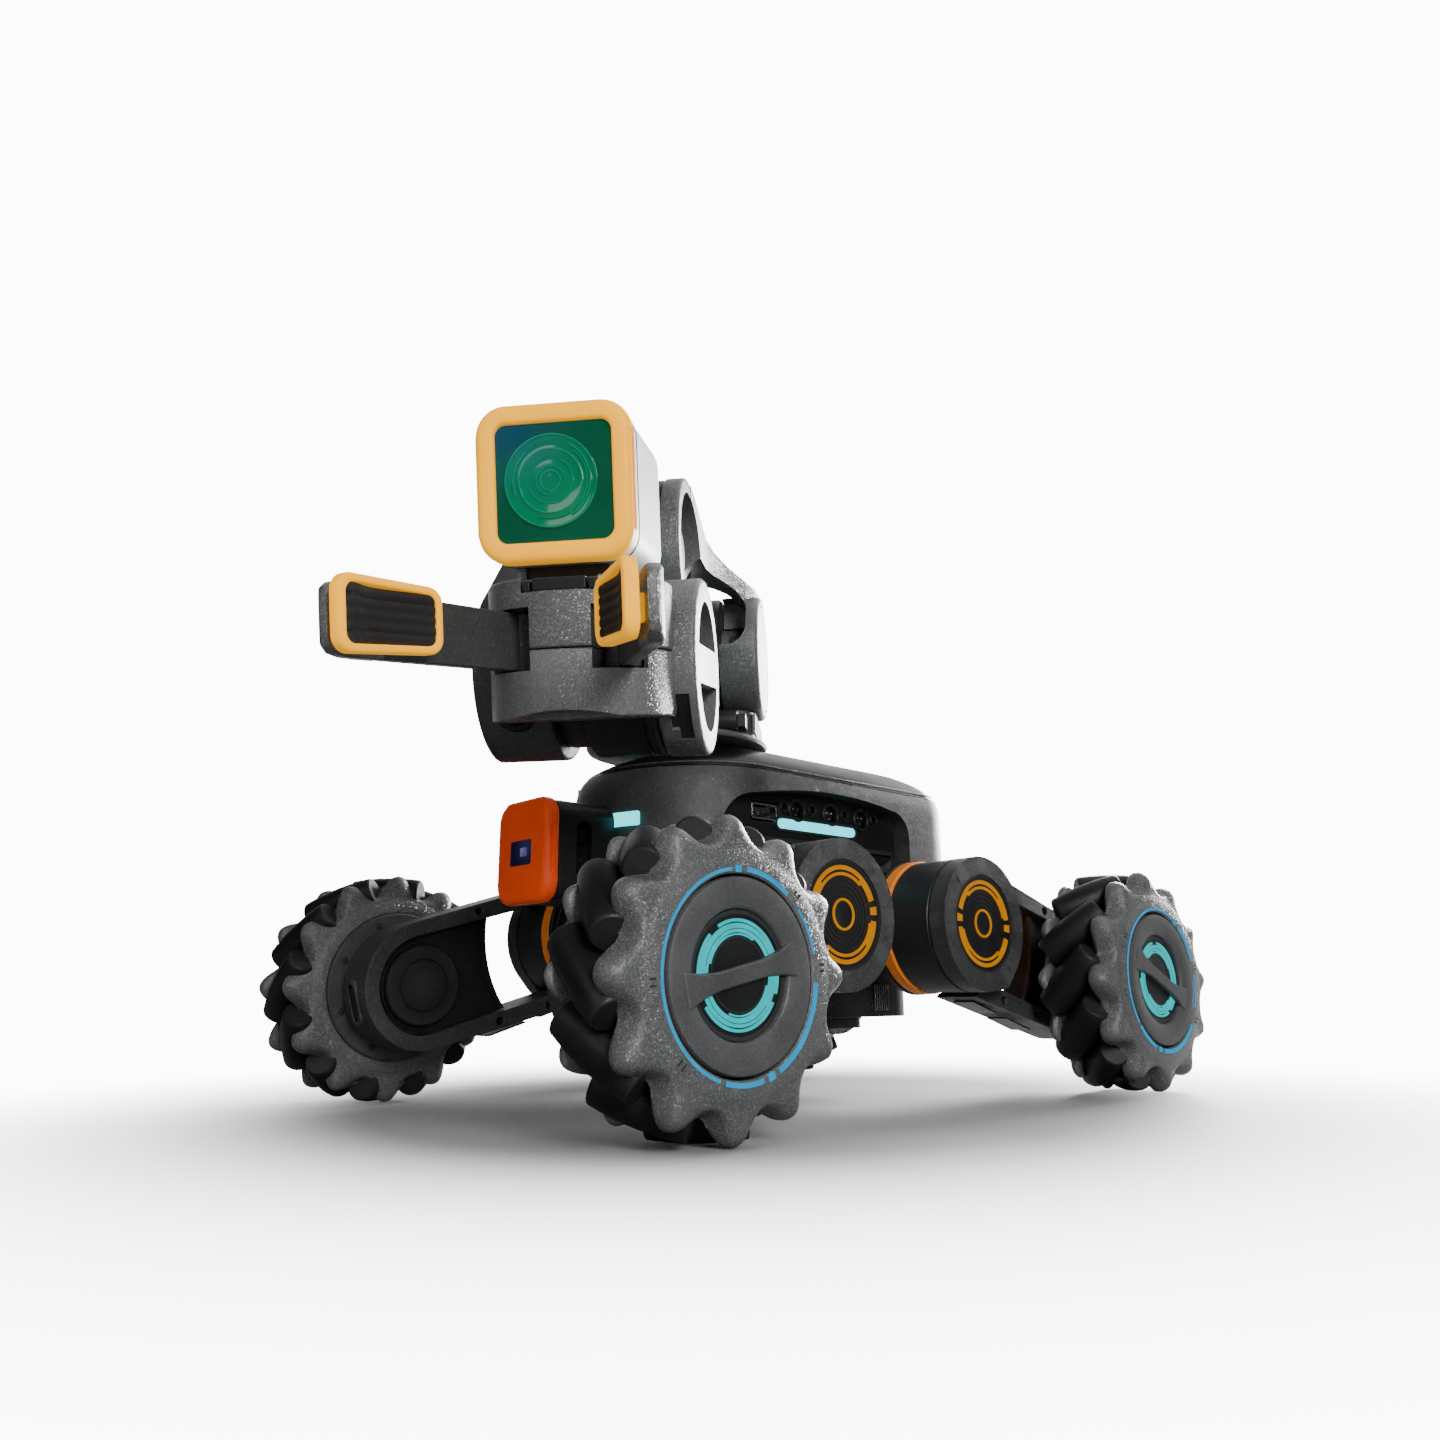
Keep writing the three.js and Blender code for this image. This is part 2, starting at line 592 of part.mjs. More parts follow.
function armBase() {
  const table = rodZ(TURNTABLE.radius, TURNTABLE.z0, TURNTABLE.z1, 0, 0, 32);
  const column = plateZ(roundedRectangle(-34, 36, -20, 20, 6), TURNTABLE.z1 - 1, TURNTABLE.columnTop, 3);
  const cheek = jointDisc(PLATE_RADIUS, -34, -12.3, SHOULDER);
  const web = box(-34, -12.3, -20, 20, TURNTABLE.z1, SHOULDER.z);
  return join(table, column, cheek, web);
}

function shoulderServo() {
  return join(
    jointDisc(24, -12, -4, SHOULDER),
    jointDisc(SERVO_RADIUS, -5, 21.7, SHOULDER),
    jointDisc(SHOULDER_CAP.radius, 21, SHOULDER_CAP.end, SHOULDER),
  );
}

// The bar is cut from its outline seen from the side and its outline seen from above.
function linkBar() {
  const fromSide = polygon([
    [-2, SHOULDER.z + 27.9],
    [-2, SHOULDER.z + 12],
    [-26, SHOULDER.z + 14],
    [-66, ELBOW.z + 5],
    [-80, ELBOW.z + 5],
    [-80, ELBOW.z + 27.9],
    [-62, ELBOW.z + 22],
    [-14, SHOULDER.z + 27],
  ].reverse());
  const fromAbove = polygon([
    [LINK.ringInner, -84],
    [LINK.ringOuter, -84],
    [LINK.ringOuter + 2, -42],
    [LINK.outer - 2, -15],
    [LINK.outer, 4],
    [LINK.outer - 8, 4],
    [LINK.outer - 10, -12],
    [LINK.ringInner, -38],
  ]);
  return plateX(fromSide, LINK.ringInner - 1, LINK.outer + 1).intersect(plateZ(fromAbove, 180, 240));
}

function upperArmLink() {
  const disc = jointDisc(PLATE_RADIUS, LINK.inner, LINK.outer, SHOULDER);
  const ring = jointDisc(PLATE_RADIUS, LINK.ringInner, LINK.ringOuter, ELBOW);
  const bore = jointDisc(LINK.bore, LINK.ringInner + 3, LINK.ringOuter + 1, ELBOW);
  const servoRoom = jointDisc(SERVO_RADIUS + GAP, -20, LINK.inner, SHOULDER);
  const capRoom = jointDisc(SHOULDER_CAP.radius + GAP, LINK.inner - 1, SHOULDER_CAP.end + GAP, SHOULDER);
  // The disc is open in front above its axis, so the cap of the servo shows.
  const notch = box(LINK.inner - 1, LINK_NOTCH.x, -60, LINK_NOTCH.y, LINK_NOTCH.z0, LINK_NOTCH.z1);
  return cut(join(disc, ring, linkBar()), bore, servoRoom, capRoom, notch);
}

function elbowServo() {
  return join(jointDisc(24, -26.7, -18, ELBOW), jointDisc(SERVO_RADIUS, -19, LINK.ringInner - GAP, ELBOW));
}

function forearmFrame() {
  const elbow = [-ELBOW.f, ELBOW.z];
  const wrist = [-WRIST.f, WRIST.z];
  const outline = racetrack(elbow, PLATE_RADIUS, wrist, PLATE_RADIUS);
  const along = new THREE.Vector2(wrist[0] - elbow[0], wrist[1] - elbow[1]).normalize();
  const at = (t, v) => [elbow[0] + along.x * t - along.y * v, elbow[1] + along.y * t + along.x * v];
  const reach = Math.hypot(wrist[0] - elbow[0], wrist[1] - elbow[1]);
  const slot = polygon([at(25, -13), at(reach - 25, -13), at(reach - 25, 13), at(25, 13)]);
  const plate = cut(plateX(outline, -34.5, -27), plateX(slot, -36, -26));
  return join(plate, jointDisc(PLATE_RADIUS, -28, -12.3, WRIST));
}

add('arm_base', armBase(), charcoal(), arm);
add('shoulder_servo', shoulderServo(), black(), arm);
add('upper_arm_link', upperArmLink(), charcoal(), arm);
add('elbow_servo', elbowServo(), black(), arm);
add('forearm_frame', forearmFrame(), charcoal(), arm);

// ---------------------------------------------------------------- gripper and camera
// The gripper's own frame sits on the wrist axis: -Y is forward, +Z is up.
const gripper = new THREE.Group();
gripper.position.set(0, -WRIST.f, WRIST.z);
gripper.rotation.x = GRIPPER_PITCH;
arm.add(gripper);


function wristServo() {
  return join(rodX(24, -12, -3, 0, 0), rodX(SERVO_RADIUS, -4, 19.7, 0, 0));
}

// The space that one finger sweeps inside the drum.
function fingerRoom(side) {
  const plan = [
    [8, -32],
    [20.9, -32],
    [20.9, -43.2],
    [34.5, -56],
    [34.5, -70],
    [8, -70],
  ].map(([x, y]) => [side * x, y]);
  return plateZ(polygon(side > 0 ? plan.reverse() : plan), FINGER.u0 - 0.5, FINGER.u1 + 0.5);
}

function drum(bottom, top, wristRoomEnd) {
  const wristRoom = rodX(PLATE_RADIUS + GAP, -40, wristRoomEnd, 0, 0);
  return cut(rodZ(DRUM.radius, bottom, top, 0, -DRUM.f), wristRoom, fingerRoom(1), fingerRoom(-1));
}

function gripperLower() {
  const ring = rodX(PLATE_RADIUS, 20, 33, 0, 0);
  const holes = [1, -1].map((v) => {
    const shape = new THREE.Shape();
    shape.absarc(0, 0, 21, Math.PI * (v > 0 ? 0.08 : 1.08), Math.PI * (v > 0 ? 0.92 : 1.92), false);
    return plateX(shape, 24, 34, 8);
  });
  const neck = box(20.9, 26.9, -44, -22, DRUM.bottom + 0.5, DRUM.parting - GAP / 2);
  return join(drum(DRUM.bottom, DRUM.parting - GAP / 2, 19.7), cut(ring, ...holes), neck);
}

function gripperUpper() {
  const notch = box(-11, 11, -60, -48, DRUM.top - 3.5, DRUM.top + 1);
  return cut(drum(DRUM.parting + GAP / 2, DRUM.top, 33 + GAP), notch);
}

// A finger about its pivot, straight along -Y, before it is opened. Its inner side is -X on the
// left finger and +X on the right one.
function fingerBar(side) {
  const { length, u0, u1 } = FINGER;
  const knuckle = rodZ(5.5, u0, u1, 0, 0, SMALL_ROUND);
  const bar = box(-2.2, 2.2, 18 - length, 0, u0, u1);
  const shield = polygon([
    [-length, 4],
    [-length + 2, u0 + 1],
    [-length + 7, u0],
    [-length + 19, u0],
    [-length + 19, u1],
    [-length + 7, u1 + 1],
    [-length + 2, u1],
    [-length, 9.5],
  ]);
  return join(knuckle, bar, plateX(shield, ...alongX([-1, 3], -side)));
}

// The pad in its own frame, with the stub that carries it on the finger.
function fingerPad(side) {
  const { half, thick } = PAD;
  const frame = roundedRectangle(-half, half, FINGER.u0 + 1.3, FINGER.u1 + 1, 3.5);
  const plate = plateX(frame, -thick / 2, thick / 2, 3);
  const stub = box(...alongX([thick / 2 - 0.5, thick / 2 + 1.4], side), -9.5, -4.5, 2.5, 8.5);
  return join(plate, stub);
}

add('wrist_servo', wristServo(), black(), gripper);
add('gripper_lower', gripperLower(), charcoal(), gripper);
add('gripper_upper', gripperUpper(), charcoal(), gripper);
for (const [sideName, side] of Object.entries(SIDES)) {
  const finger = new THREE.Group();
  finger.position.set(side * FINGER.x, -FINGER.f, 0);
  finger.rotation.z = side * FINGER.angle;
  gripper.add(finger);
  add(`finger_${sideName}`, fingerBar(side), charcoal(), finger);
  const pad = new THREE.Group();
  pad.position.set(-side * PAD.offset, -PAD.reach, 0);
  pad.rotation.z = side * PAD.tilt;
  finger.add(pad);
  add(`finger_pad_${sideName}`, fingerPad(side), amber(), pad);
}

function cameraHousing() {
  const top = CAMERA.bottom + 2 * CAMERA.half;
  const outline = roundedRectangle(-CAMERA.half + 0.6, CAMERA.half - 0.6, CAMERA.bottom + 0.6, top - 0.6, 8);
  const housing = plateY(outline, -CAMERA.front + CAMERA.bezel + GAP, -CAMERA.back);
  const foot = box(-13, 13, -46, -20, DRUM.top + GAP, CAMERA.bottom + 2);
  return join(housing, foot);
}

function cameraBezel() {
  const top = CAMERA.bottom + 2 * CAMERA.half;
  const outline = roundedRectangle(-CAMERA.half, CAMERA.half, CAMERA.bottom, top, 8.5);
  const w = CAMERA.window;
  const opening = roundedRectangle(-w, w, CAMERA.lensU - w, CAMERA.lensU + w, 2.5);
  const bezel = plateY(outline, -CAMERA.front, -CAMERA.front + CAMERA.bezel);
  return cut(bezel, plateY(opening, -CAMERA.front - 1, -CAMERA.front + CAMERA.bezel + 1, 3));
}

function cameraGlass() {
  const w = CAMERA.window - GAP;
  const outline = roundedRectangle(-w, w, CAMERA.lensU - w, CAMERA.lensU + w, 2.2);
  return plateY(outline, -CAMERA.front + 0.8, -CAMERA.front + CAMERA.bezel, 3);
}

add('camera_housing', cameraHousing(), paint(0xe8e8e8, 0.5), gripper);
add('camera_bezel', cameraBezel(), amber(), gripper);
add('camera_glass', cameraGlass(), paint(0x0f5a48, 0.08), gripper);

const part = new THREE.Group();
part.add(robot);
export default part;
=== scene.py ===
import json
import math

import bmesh
import bpy
from mathutils import Matrix, Vector
from mathutils.geometry import delaunay_2d_cdt

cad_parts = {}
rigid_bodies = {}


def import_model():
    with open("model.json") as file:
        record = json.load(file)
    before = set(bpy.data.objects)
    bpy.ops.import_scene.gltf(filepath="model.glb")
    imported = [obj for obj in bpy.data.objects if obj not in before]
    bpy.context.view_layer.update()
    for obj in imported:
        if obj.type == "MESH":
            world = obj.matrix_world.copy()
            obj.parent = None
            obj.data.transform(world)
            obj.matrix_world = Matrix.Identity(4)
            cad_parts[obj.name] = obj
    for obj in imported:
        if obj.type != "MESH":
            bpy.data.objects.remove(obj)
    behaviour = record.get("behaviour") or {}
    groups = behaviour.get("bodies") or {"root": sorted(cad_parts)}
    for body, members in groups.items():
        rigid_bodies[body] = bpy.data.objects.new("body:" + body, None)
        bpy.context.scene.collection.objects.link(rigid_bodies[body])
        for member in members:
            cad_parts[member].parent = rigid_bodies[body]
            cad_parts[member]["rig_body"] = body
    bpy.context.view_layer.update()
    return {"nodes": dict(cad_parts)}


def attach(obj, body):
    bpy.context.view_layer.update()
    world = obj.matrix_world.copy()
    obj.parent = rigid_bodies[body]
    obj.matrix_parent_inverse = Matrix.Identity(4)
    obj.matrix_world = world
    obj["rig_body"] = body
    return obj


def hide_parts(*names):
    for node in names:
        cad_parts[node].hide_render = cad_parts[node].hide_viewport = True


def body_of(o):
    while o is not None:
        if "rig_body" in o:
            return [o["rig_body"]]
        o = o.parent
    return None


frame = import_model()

# ------------------------------------------------------------------ units and places
# Shapes are written in millimetres above the ground; the part's frame starts under the battery.
UNDERSIDE = 28.0
TO_FRAME = Matrix.Scale(0.001, 4) @ Matrix.Translation((0, 0, -UNDERSIDE))
I4 = Matrix.Identity(4)
SIDES = {"left": 1, "right": -1}
ENDS = {"front": -1, "rear": 1}
CORNERS = [(side, end) for end in ENDS.values() for side in SIDES.values()]
rad = math.radians


def name_of(table, value):
    return next(name for name, v in table.items() if v == value)


def corner_name(side, end):
    return f"{name_of(ENDS, end)}_{name_of(SIDES, side)}"


def shift(x, y, z):
    return Matrix.Translation((x, y, z))


def turn(angle, axis):
    return Matrix.Rotation(rad(angle), 4, axis)


def mirror(side):
    """1 keeps a shape as drawn, on the left; -1 flips it to the right."""
    return Matrix.Diagonal((side, 1, 1, 1))


HIP_Y, HIP_Z = 44.0, 71.0
WHEEL_Y, WHEEL_R = 127.5, 48.0
LEG_LEN = math.hypot(WHEEL_Y - HIP_Y, HIP_Z - WHEEL_R)
LEG_DROP = math.atan2(HIP_Z - WHEEL_R, WHEEL_Y - HIP_Y)
TURNTABLE_AT = (0, -46)
KEY_AT = (14, 52)
ARM = shift(*TURNTABLE_AT, 0) @ turn(40.6, "Z")
SHOULDER = (0.0, 189.0)
ELBOW = (81.6, 207.5)
WRIST = (139.6, 143.1)
AT_SHOULDER, AT_ELBOW, AT_WRIST = (shift(0, -forward, height) for forward, height in (SHOULDER, ELBOW, WRIST))
GRIP = ARM @ AT_WRIST @ turn(13.1, "X")
SERVO_R = 28.0
FINGER_PIVOT = (14.5, -41)


def finger_place(side):
    return GRIP @ shift(side * FINGER_PIVOT[0], FINGER_PIVOT[1], 0) @ turn(side * 17.8, "Z") @ mirror(side)


def leg_place(side, end):
    """Local x runs outwards, y from the hip to the wheel axle, z square to both."""
    c, s = math.cos(LEG_DROP), math.sin(LEG_DROP)
    return Matrix(((side, 0, 0, 0), (0, end * c, end * s, end * HIP_Y), (0, -s, c, HIP_Z), (0, 0, 0, 1)))


def wheel_place(side, end):
    return shift(0, end * WHEEL_Y, WHEEL_R) @ mirror(side)


def hip_place(side, end):
    return shift(0, end * HIP_Y, HIP_Z) @ mirror(side)


# ------------------------------------------------------------------ materials
def new_material(name):
    m = bpy.data.materials.new(name)
    m.use_nodes = True
    tree = m.node_tree
    return m, tree, tree.nodes["Principled BSDF"]


def wire(source, socket):
    socket.id_data.links.new(source, socket)


def node(tree, kind, **settings):
    n = tree.nodes.new(kind)
    for key, value in settings.items():
        if key.startswith("in_"):
            n.inputs[key[3:].replace("_", " ")].default_value = value
        else:
            setattr(n, key, value)
    return n


def mix(tree, factor, a, b, blend="MIX"):
    n = tree.nodes.new("ShaderNodeMix")
    n.data_type = "RGBA"
    n.blend_type = blend
    for socket, value in ((n.inputs[0], factor), (n.inputs[6], a), (n.inputs[7], b)):
        if hasattr(value, "is_linked"):
            wire(value, socket)
        else:
            socket.default_value = value
    return n.outputs[2]


def ramp(tree, source, low, high, out_low=0.0, out_high=1.0):
    n = tree.nodes.new("ShaderNodeMapRange")
    wire(source, n.inputs[0])
    for i, value in enumerate((low, high, out_low, out_high)):
        n.inputs[i + 1].default_value = value
    return n.outputs[0]


GLITTER = 0.75


def finish(name, color, rough, speck=0.0, cell=0.45, bump=0.12, edge_lightening=0.25, metal=0.0, coat=0.0, vary=0.2,
           shine=0.34, mottle=0.06, glow=0.0):
    """Moulded or painted surface: mottled colour, fine grain, optional bright specks, lighter sharp edges.

    cell is the size of a grain in millimetres; speck is the share of grains that are bright.
    """
    m, tree, shader = new_material(name)
    coords = node(tree, "ShaderNodeTexCoord").outputs["Object"]
    cloud = node(tree, "ShaderNodeTexNoise", in_Scale=55.0, in_Detail=4.0)
    fine = node(tree, "ShaderNodeTexNoise", in_Scale=900.0 / cell, in_Detail=2.0)
    for n in (cloud, fine):
        wire(coords, n.inputs["Vector"])
    dark = [c * (1 - vary) for c in color] + [1]
    light = [min(1, c * (1 + vary)) for c in color] + [1]
    base = mix(tree, ramp(tree, cloud.outputs["Fac"], 0.3, 0.7), dark, light)
    grain = ramp(tree, fine.outputs["Fac"], 0.35, 0.65, 1 - mottle, 1 + mottle)
    base = mix(tree, 1.0, base, grain, "MULTIPLY")
    # bright specks: some grains painted lighter in the base colour, a painted glint of the flakes beside the
    # coat's own sparkle below
    if speck:
        cells = node(tree, "ShaderNodeTexVoronoi", in_Scale=1000.0 / cell)
        wire(coords, cells.inputs["Vector"])
        pick = node(tree, "ShaderNodeSeparateColor")
        wire(cells.outputs["Color"], pick.inputs[0])
        chosen = ramp(tree, pick.outputs[0], 1 - speck, 1.0, 0.0, 0.85)
        base = mix(tree, chosen, base, [min(1, c * 1.9 + 0.04) for c in color] + [1])
        # each cell of the coat leans its own way, so single grains catch the light
        lean = node(tree, "ShaderNodeVectorMath", operation="MULTIPLY_ADD")
        wire(cells.outputs["Color"], lean.inputs[0])
        lean.inputs[1].default_value = (GLITTER, GLITTER, GLITTER)
        lean.inputs[2].default_value = (-GLITTER / 2, -GLITTER / 2, -GLITTER / 2)
        tilted = node(tree, "ShaderNodeVectorMath", operation="ADD")
        wire(lean.outputs[0], tilted.inputs[0])
        wire(node(tree, "ShaderNodeNewGeometry").outputs["Normal"], tilted.inputs[1])
        unit = node(tree, "ShaderNodeVectorMath", operation="NORMALIZE")
        wire(tilted.outputs[0], unit.inputs[0])
        wire(unit.outputs[0], shader.inputs["Coat Normal"])
    if edge_lightening:
        # sharp edges are drawn a little lighter than the rest
        geometry = node(tree, "ShaderNodeNewGeometry")
        edge = ramp(tree, geometry.outputs["Pointiness"], 0.515, 0.58, 0.0, edge_lightening)
        base = mix(tree, edge, base, [min(1, c * 1.6 + 0.06) for c in color] + [1])
    wire(base, shader.inputs["Base Color"])
    if glow:
        # painted light: an emission that brightens a part that is no lamp
        wire(base, shader.inputs["Emission Color"])
        shader.inputs["Emission Strength"].default_value = glow
    smudge = ramp(tree, cloud.outputs["Fac"], 0.3, 0.75, rough - 0.07, rough + 0.09)
    wire(smudge, shader.inputs["Roughness"])
    shader.inputs["Metallic"].default_value = metal
    shader.inputs["Specular IOR Level"].default_value = 0.5 if metal else shine
    shader.inputs["Coat Weight"].default_value = coat
    shader.inputs["Coat Roughness"].default_value = 0.22 if speck else 0.12
    relief = node(tree, "ShaderNodeBump", in_Strength=bump, in_Distance=0.0003)
    wire(fine.outputs["Fac"], relief.inputs["Height"])
    wire(relief.outputs["Normal"], shader.inputs["Normal"])
    return m


def lamp(name, color, strength, base=(0.02, 0.02, 0.02)):
    """A lit diffuser, its light a little brighter in some patches than in others."""
    m, tree, shader = new_material(name)
    coords = node(tree, "ShaderNodeTexCoord").outputs["Object"]
    cloud = node(tree, "ShaderNodeTexNoise", in_Scale=160.0, in_Detail=2.0)
    wire(coords, cloud.inputs["Vector"])
    dimmer = [c * 0.85 for c in color] + [1]
    shade = mix(tree, ramp(tree, cloud.outputs["Fac"], 0.3, 0.7), dimmer, [*color, 1])
    wire(shade, shader.inputs["Emission Color"])
    shader.inputs["Emission Strength"].default_value = strength
    shader.inputs["Base Color"].default_value = (*base, 1)
    shader.inputs["Specular IOR Level"].default_value = 0.05
    shader.inputs["Roughness"].default_value = 0.5
    relief = node(tree, "ShaderNodeBump", in_Strength=0.05, in_Distance=0.0002)
    wire(cloud.outputs["Fac"], relief.inputs["Height"])
    wire(relief.outputs["Normal"], shader.inputs["Normal"])
    return m


def coated_glass(name, low, high, glint, centre, reach, glow):
    """Dark coated glass: two colours fade across it, with a soft painted glint towards one corner; it also
    glows a little, which is painted light.
    """
    m, tree, shader = new_material(name)
    coords = node(tree, "ShaderNodeTexCoord").outputs["Object"]
    away = node(tree, "ShaderNodeVectorMath", operation="DISTANCE")
    wire(coords, away.inputs[0])
    away.inputs[1].default_value = centre
    cloud = node(tree, "ShaderNodeTexNoise", in_Scale=70.0, in_Detail=3.0)
    wire(coords, cloud.inputs["Vector"])
    base = mix(tree, ramp(tree, away.outputs["Value"], 0.0, reach), [*glint, 1], [*low, 1])
    base = mix(tree, ramp(tree, cloud.outputs["Fac"], 0.35, 0.75, 0.0, 0.5), base, [*high, 1])
    wire(base, shader.inputs["Base Color"])
    wire(base, shader.inputs["Emission Color"])
    shader.inputs["Emission Strength"].default_value = glow
    smudge = ramp(tree, cloud.outputs["Fac"], 0.2, 0.8, 0.06, 0.06 + 0.08)
    wire(smudge, shader.inputs["Roughness"])
    shader.inputs["Coat Weight"].default_value = 0.6
    shader.inputs["Coat Roughness"].default_value = 0.04
    return m


GRAIN = finish("grain", (0.068, 0.071, 0.071), 0.44, speck=0.3, cell=0.34, bump=0.3, edge_lightening=0.35, coat=0.5,
               mottle=0.2)
GRAIN_DARK = finish("grain_dark", (0.03, 0.0315, 0.0315), 0.5, speck=0.12, cell=0.3, bump=0.25, coat=0.12,
                    mottle=0.12)
HUB = finish("hub_grey", (0.055, 0.056, 0.058), 0.42, speck=0.06, cell=0.3, coat=0.12, mottle=0.1)
BLACK = finish("satin_black", (0.0085, 0.009, 0.0095), 0.42, bump=0.1, edge_lightening=0.3, shine=0.3)
GLOSS = finish("gloss_black", (0.006, 0.0062, 0.0066), 0.3, bump=0.04, edge_lightening=0.2, shine=0.3)
# the port black is darker and duller than the satin black: painted shade for the deep recess of the port wall
PORT_BLACK_AND_SHADE = finish("port_black_and_painted_shade", (0.004, 0.0042, 0.0046), 0.5, bump=0.08, edge_lightening=0.3, shine=0.12)
RUBBER = finish("roller_rubber", (0.0055, 0.0055, 0.006), 0.45, bump=0.2, edge_lightening=0.3, shine=0.28, mottle=0.1)
PAD = finish("pad_rubber", (0.012, 0.012, 0.0125), 0.6, cell=0.35, bump=0.35, edge_lightening=0.2, shine=0.25,
             mottle=0.12)
# the glow of AMBER, ORANGE and COLLAR is painted light: these parts are no lamps
AMBER = finish("amber", (1.0, 0.42, 0.0), 0.4, bump=0.06, edge_lightening=0.06, vary=0.03, mottle=0.02, shine=0.1,
               glow=0.62)
ORANGE_LOOK = {"bump": 0.06, "edge_lightening": 0.12, "vary": 0.05, "mottle": 0.03, "shine": 0.2}
ORANGE = finish("orange", (0.86, 0.075, 0.011), 0.42, glow=0.12, **ORANGE_LOOK)
COLLAR = finish("collar_orange", (0.9, 0.22, 0.02), 0.42, glow=0.03, **ORANGE_LOOK)
WHITE = finish("pale_housing", (0.7, 0.71, 0.72), 0.42, bump=0.06, edge_lightening=0.1, vary=0.03, mottle=0.02)
STEEL = finish("plated_steel", (0.42, 0.42, 0.43), 0.28, metal=1.0, bump=0.08, vary=0.1)
BOARD = finish("board_green", (0.02, 0.12, 0.06), 0.4, speck=0.05, bump=0.15)
CYAN = lamp("cyan_mark", (0.0, 0.9, 0.96), 0.75, (0.0, 0.01, 0.012))
BLUE = lamp("blue_mark", (0.0, 0.5, 1.0), 0.8, (0.0, 0.004, 0.01))
YELLOW = lamp("yellow_mark", (1.0, 0.37, 0.0), 0.66, (0.01, 0.004, 0.0))
LED = lamp("white_cyan_light", (0.06, 0.9, 1.0), 2.2)


# ------------------------------------------------------------------ shapes
# A shape is a list of (points, faces); all shapes are closed.
def within(loop, u, v):
    inside = False
    for i, (u1, v1) in enumerate(loop):
        u0, v0 = loop[i - 1]
        if (v0 > v) != (v1 > v) and u < u0 + (v - v0) * (u1 - u0) / (v1 - v0):
            inside = not inside
    return inside


def lift(axis, t, u, v):
    """The point at t along an axis and at u, v across it, in the order x, y, z."""
    return {"x": (t, u, v), "y": (u, t, v), "z": (u, v, t)}[axis]


def circle(u, v, r, n):
    return [(u + r * math.cos(2 * math.pi * i / n), v + r * math.sin(2 * math.pi * i / n)) for i in range(n)]


def slab(outline, t0, t1, axis="x", holes=()):
    """A flat outline, with holes, pushed along an axis: x takes (y, z), y takes (x, z), z takes (x, y)."""
    points, edges = [], []
    for loop in (outline, *holes):
        base = len(points)
        points += [Vector(p) for p in loop]
        edges += [(base + i, base + (i + 1) % len(loop)) for i in range(len(loop))]
    flat, _, faces, *_ = delaunay_2d_cdt(points, edges, [], 1, 1e-7)
    if holes:
        middle = [sum((flat[i] for i in f), Vector((0, 0))) / len(f) for f in faces]
        faces = [f for f, m in zip(faces, middle) if not any(within(h, m.x, m.y) for h in holes)]
    n = len(flat)
    verts = [lift(axis, t, *p) for t in (t0, t1) for p in flat]
    skin = [list(f) for f in faces] + [[i + n for i in reversed(f)] for f in faces]
    used = {}
    for f in faces:
        for i, a in enumerate(f):
            b = f[(i + 1) % len(f)]
            used[(a, b)] = used.get((a, b), 0) + 1
    for a, b in used:
        if (b, a) not in used:
            skin.append([b, a, a + n, b + n])
    return [(verts, skin)]


def loft(rings, ring_closed=False):
    """A skin through rings of equal length; open ends are capped, or the last ring meets the first."""
    n = len(rings[0])
    verts = [p for ring in rings for p in ring]
    count = len(rings)
    faces = []
    for k in range(count if ring_closed else count - 1):
        a, b = k * n, ((k + 1) % count) * n
        faces += [[a + i, a + (i + 1) % n, b + (i + 1) % n, b + i] for i in range(n)]
    if not ring_closed:
        faces.append(list(range(n - 1, -1, -1)))
        faces.append([(count - 1) * n + i for i in range(n)])
    return [(verts, faces)]


def turned(profile, n=64, axis="x", at=(0, 0)):
    """A profile of (distance along, radius) turned about an axis through at; poles where radius is 0."""
    verts, rows = [], []
    for t, r in profile:
        if r < 1e-6:
            rows.append([len(verts)] * n)
            verts.append(lift(axis, t, *at))
        else:
            rows.append([len(verts) + i for i in range(n)])
            verts += [lift(axis, t, u, v) for u, v in circle(at[0], at[1], r, n)]
    closed = profile[0][1] > 1e-6
    faces = []
    for k in range(len(rows) if closed else len(rows) - 1):
        a, b = rows[k], rows[(k + 1) % len(rows)]
        for i in range(n):
            j = (i + 1) % n
            corners = []
            for c in (a[i], a[j], b[j], b[i]):
                if c not in corners:
                    corners.append(c)
            if len(corners) > 2:
                faces.append(corners)
    return [(verts, faces)]


def drum(r, t0, t1, edge=1.0, n=64, axis="x", at=(0, 0), edge0=None):
    """A cylinder with rounded rims."""
    e0 = edge if edge0 is None else edge0
    rim = [rad(a) for a in (0, 30, 60, 90)]
    profile = [(t0, 0)] + [(t0 + e0 * (1 - math.cos(a)), r - e0 * (1 - math.sin(a))) for a in rim]
    profile += [(t1 - edge * (1 - math.sin(a)), r - edge * (1 - math.cos(a))) for a in rim]
    return turned(profile + [(t1, 0)], n, axis, at)


def ring(r0, r1, t0, t1, n=64, edge=0.3):
    e = edge
    return turned([(t0, r0 + e), (t0, r1 - e), (t0 + e, r1), (t1 - e, r1), (t1, r1 - e), (t1, r0 + e),
                   (t1 - e, r0), (t0 + e, r0)], n)


def arc_points(r, a0, a1, n, at=(0, 0)):
    angles = [rad(a0 + (a1 - a0) * i / n) for i in range(n + 1)]
    return [(at[0] + r * math.cos(a), at[1] + r * math.sin(a)) for a in angles]


def arc(r0, r1, a0, a1, t0, t1, at=(0, 0), axis="x"):
    n = max(2, int(abs(a1 - a0) / 4))
    return slab(arc_points(r1, a0, a1, n, at) + arc_points(r0, a1, a0, n, at), t0, t1, axis)


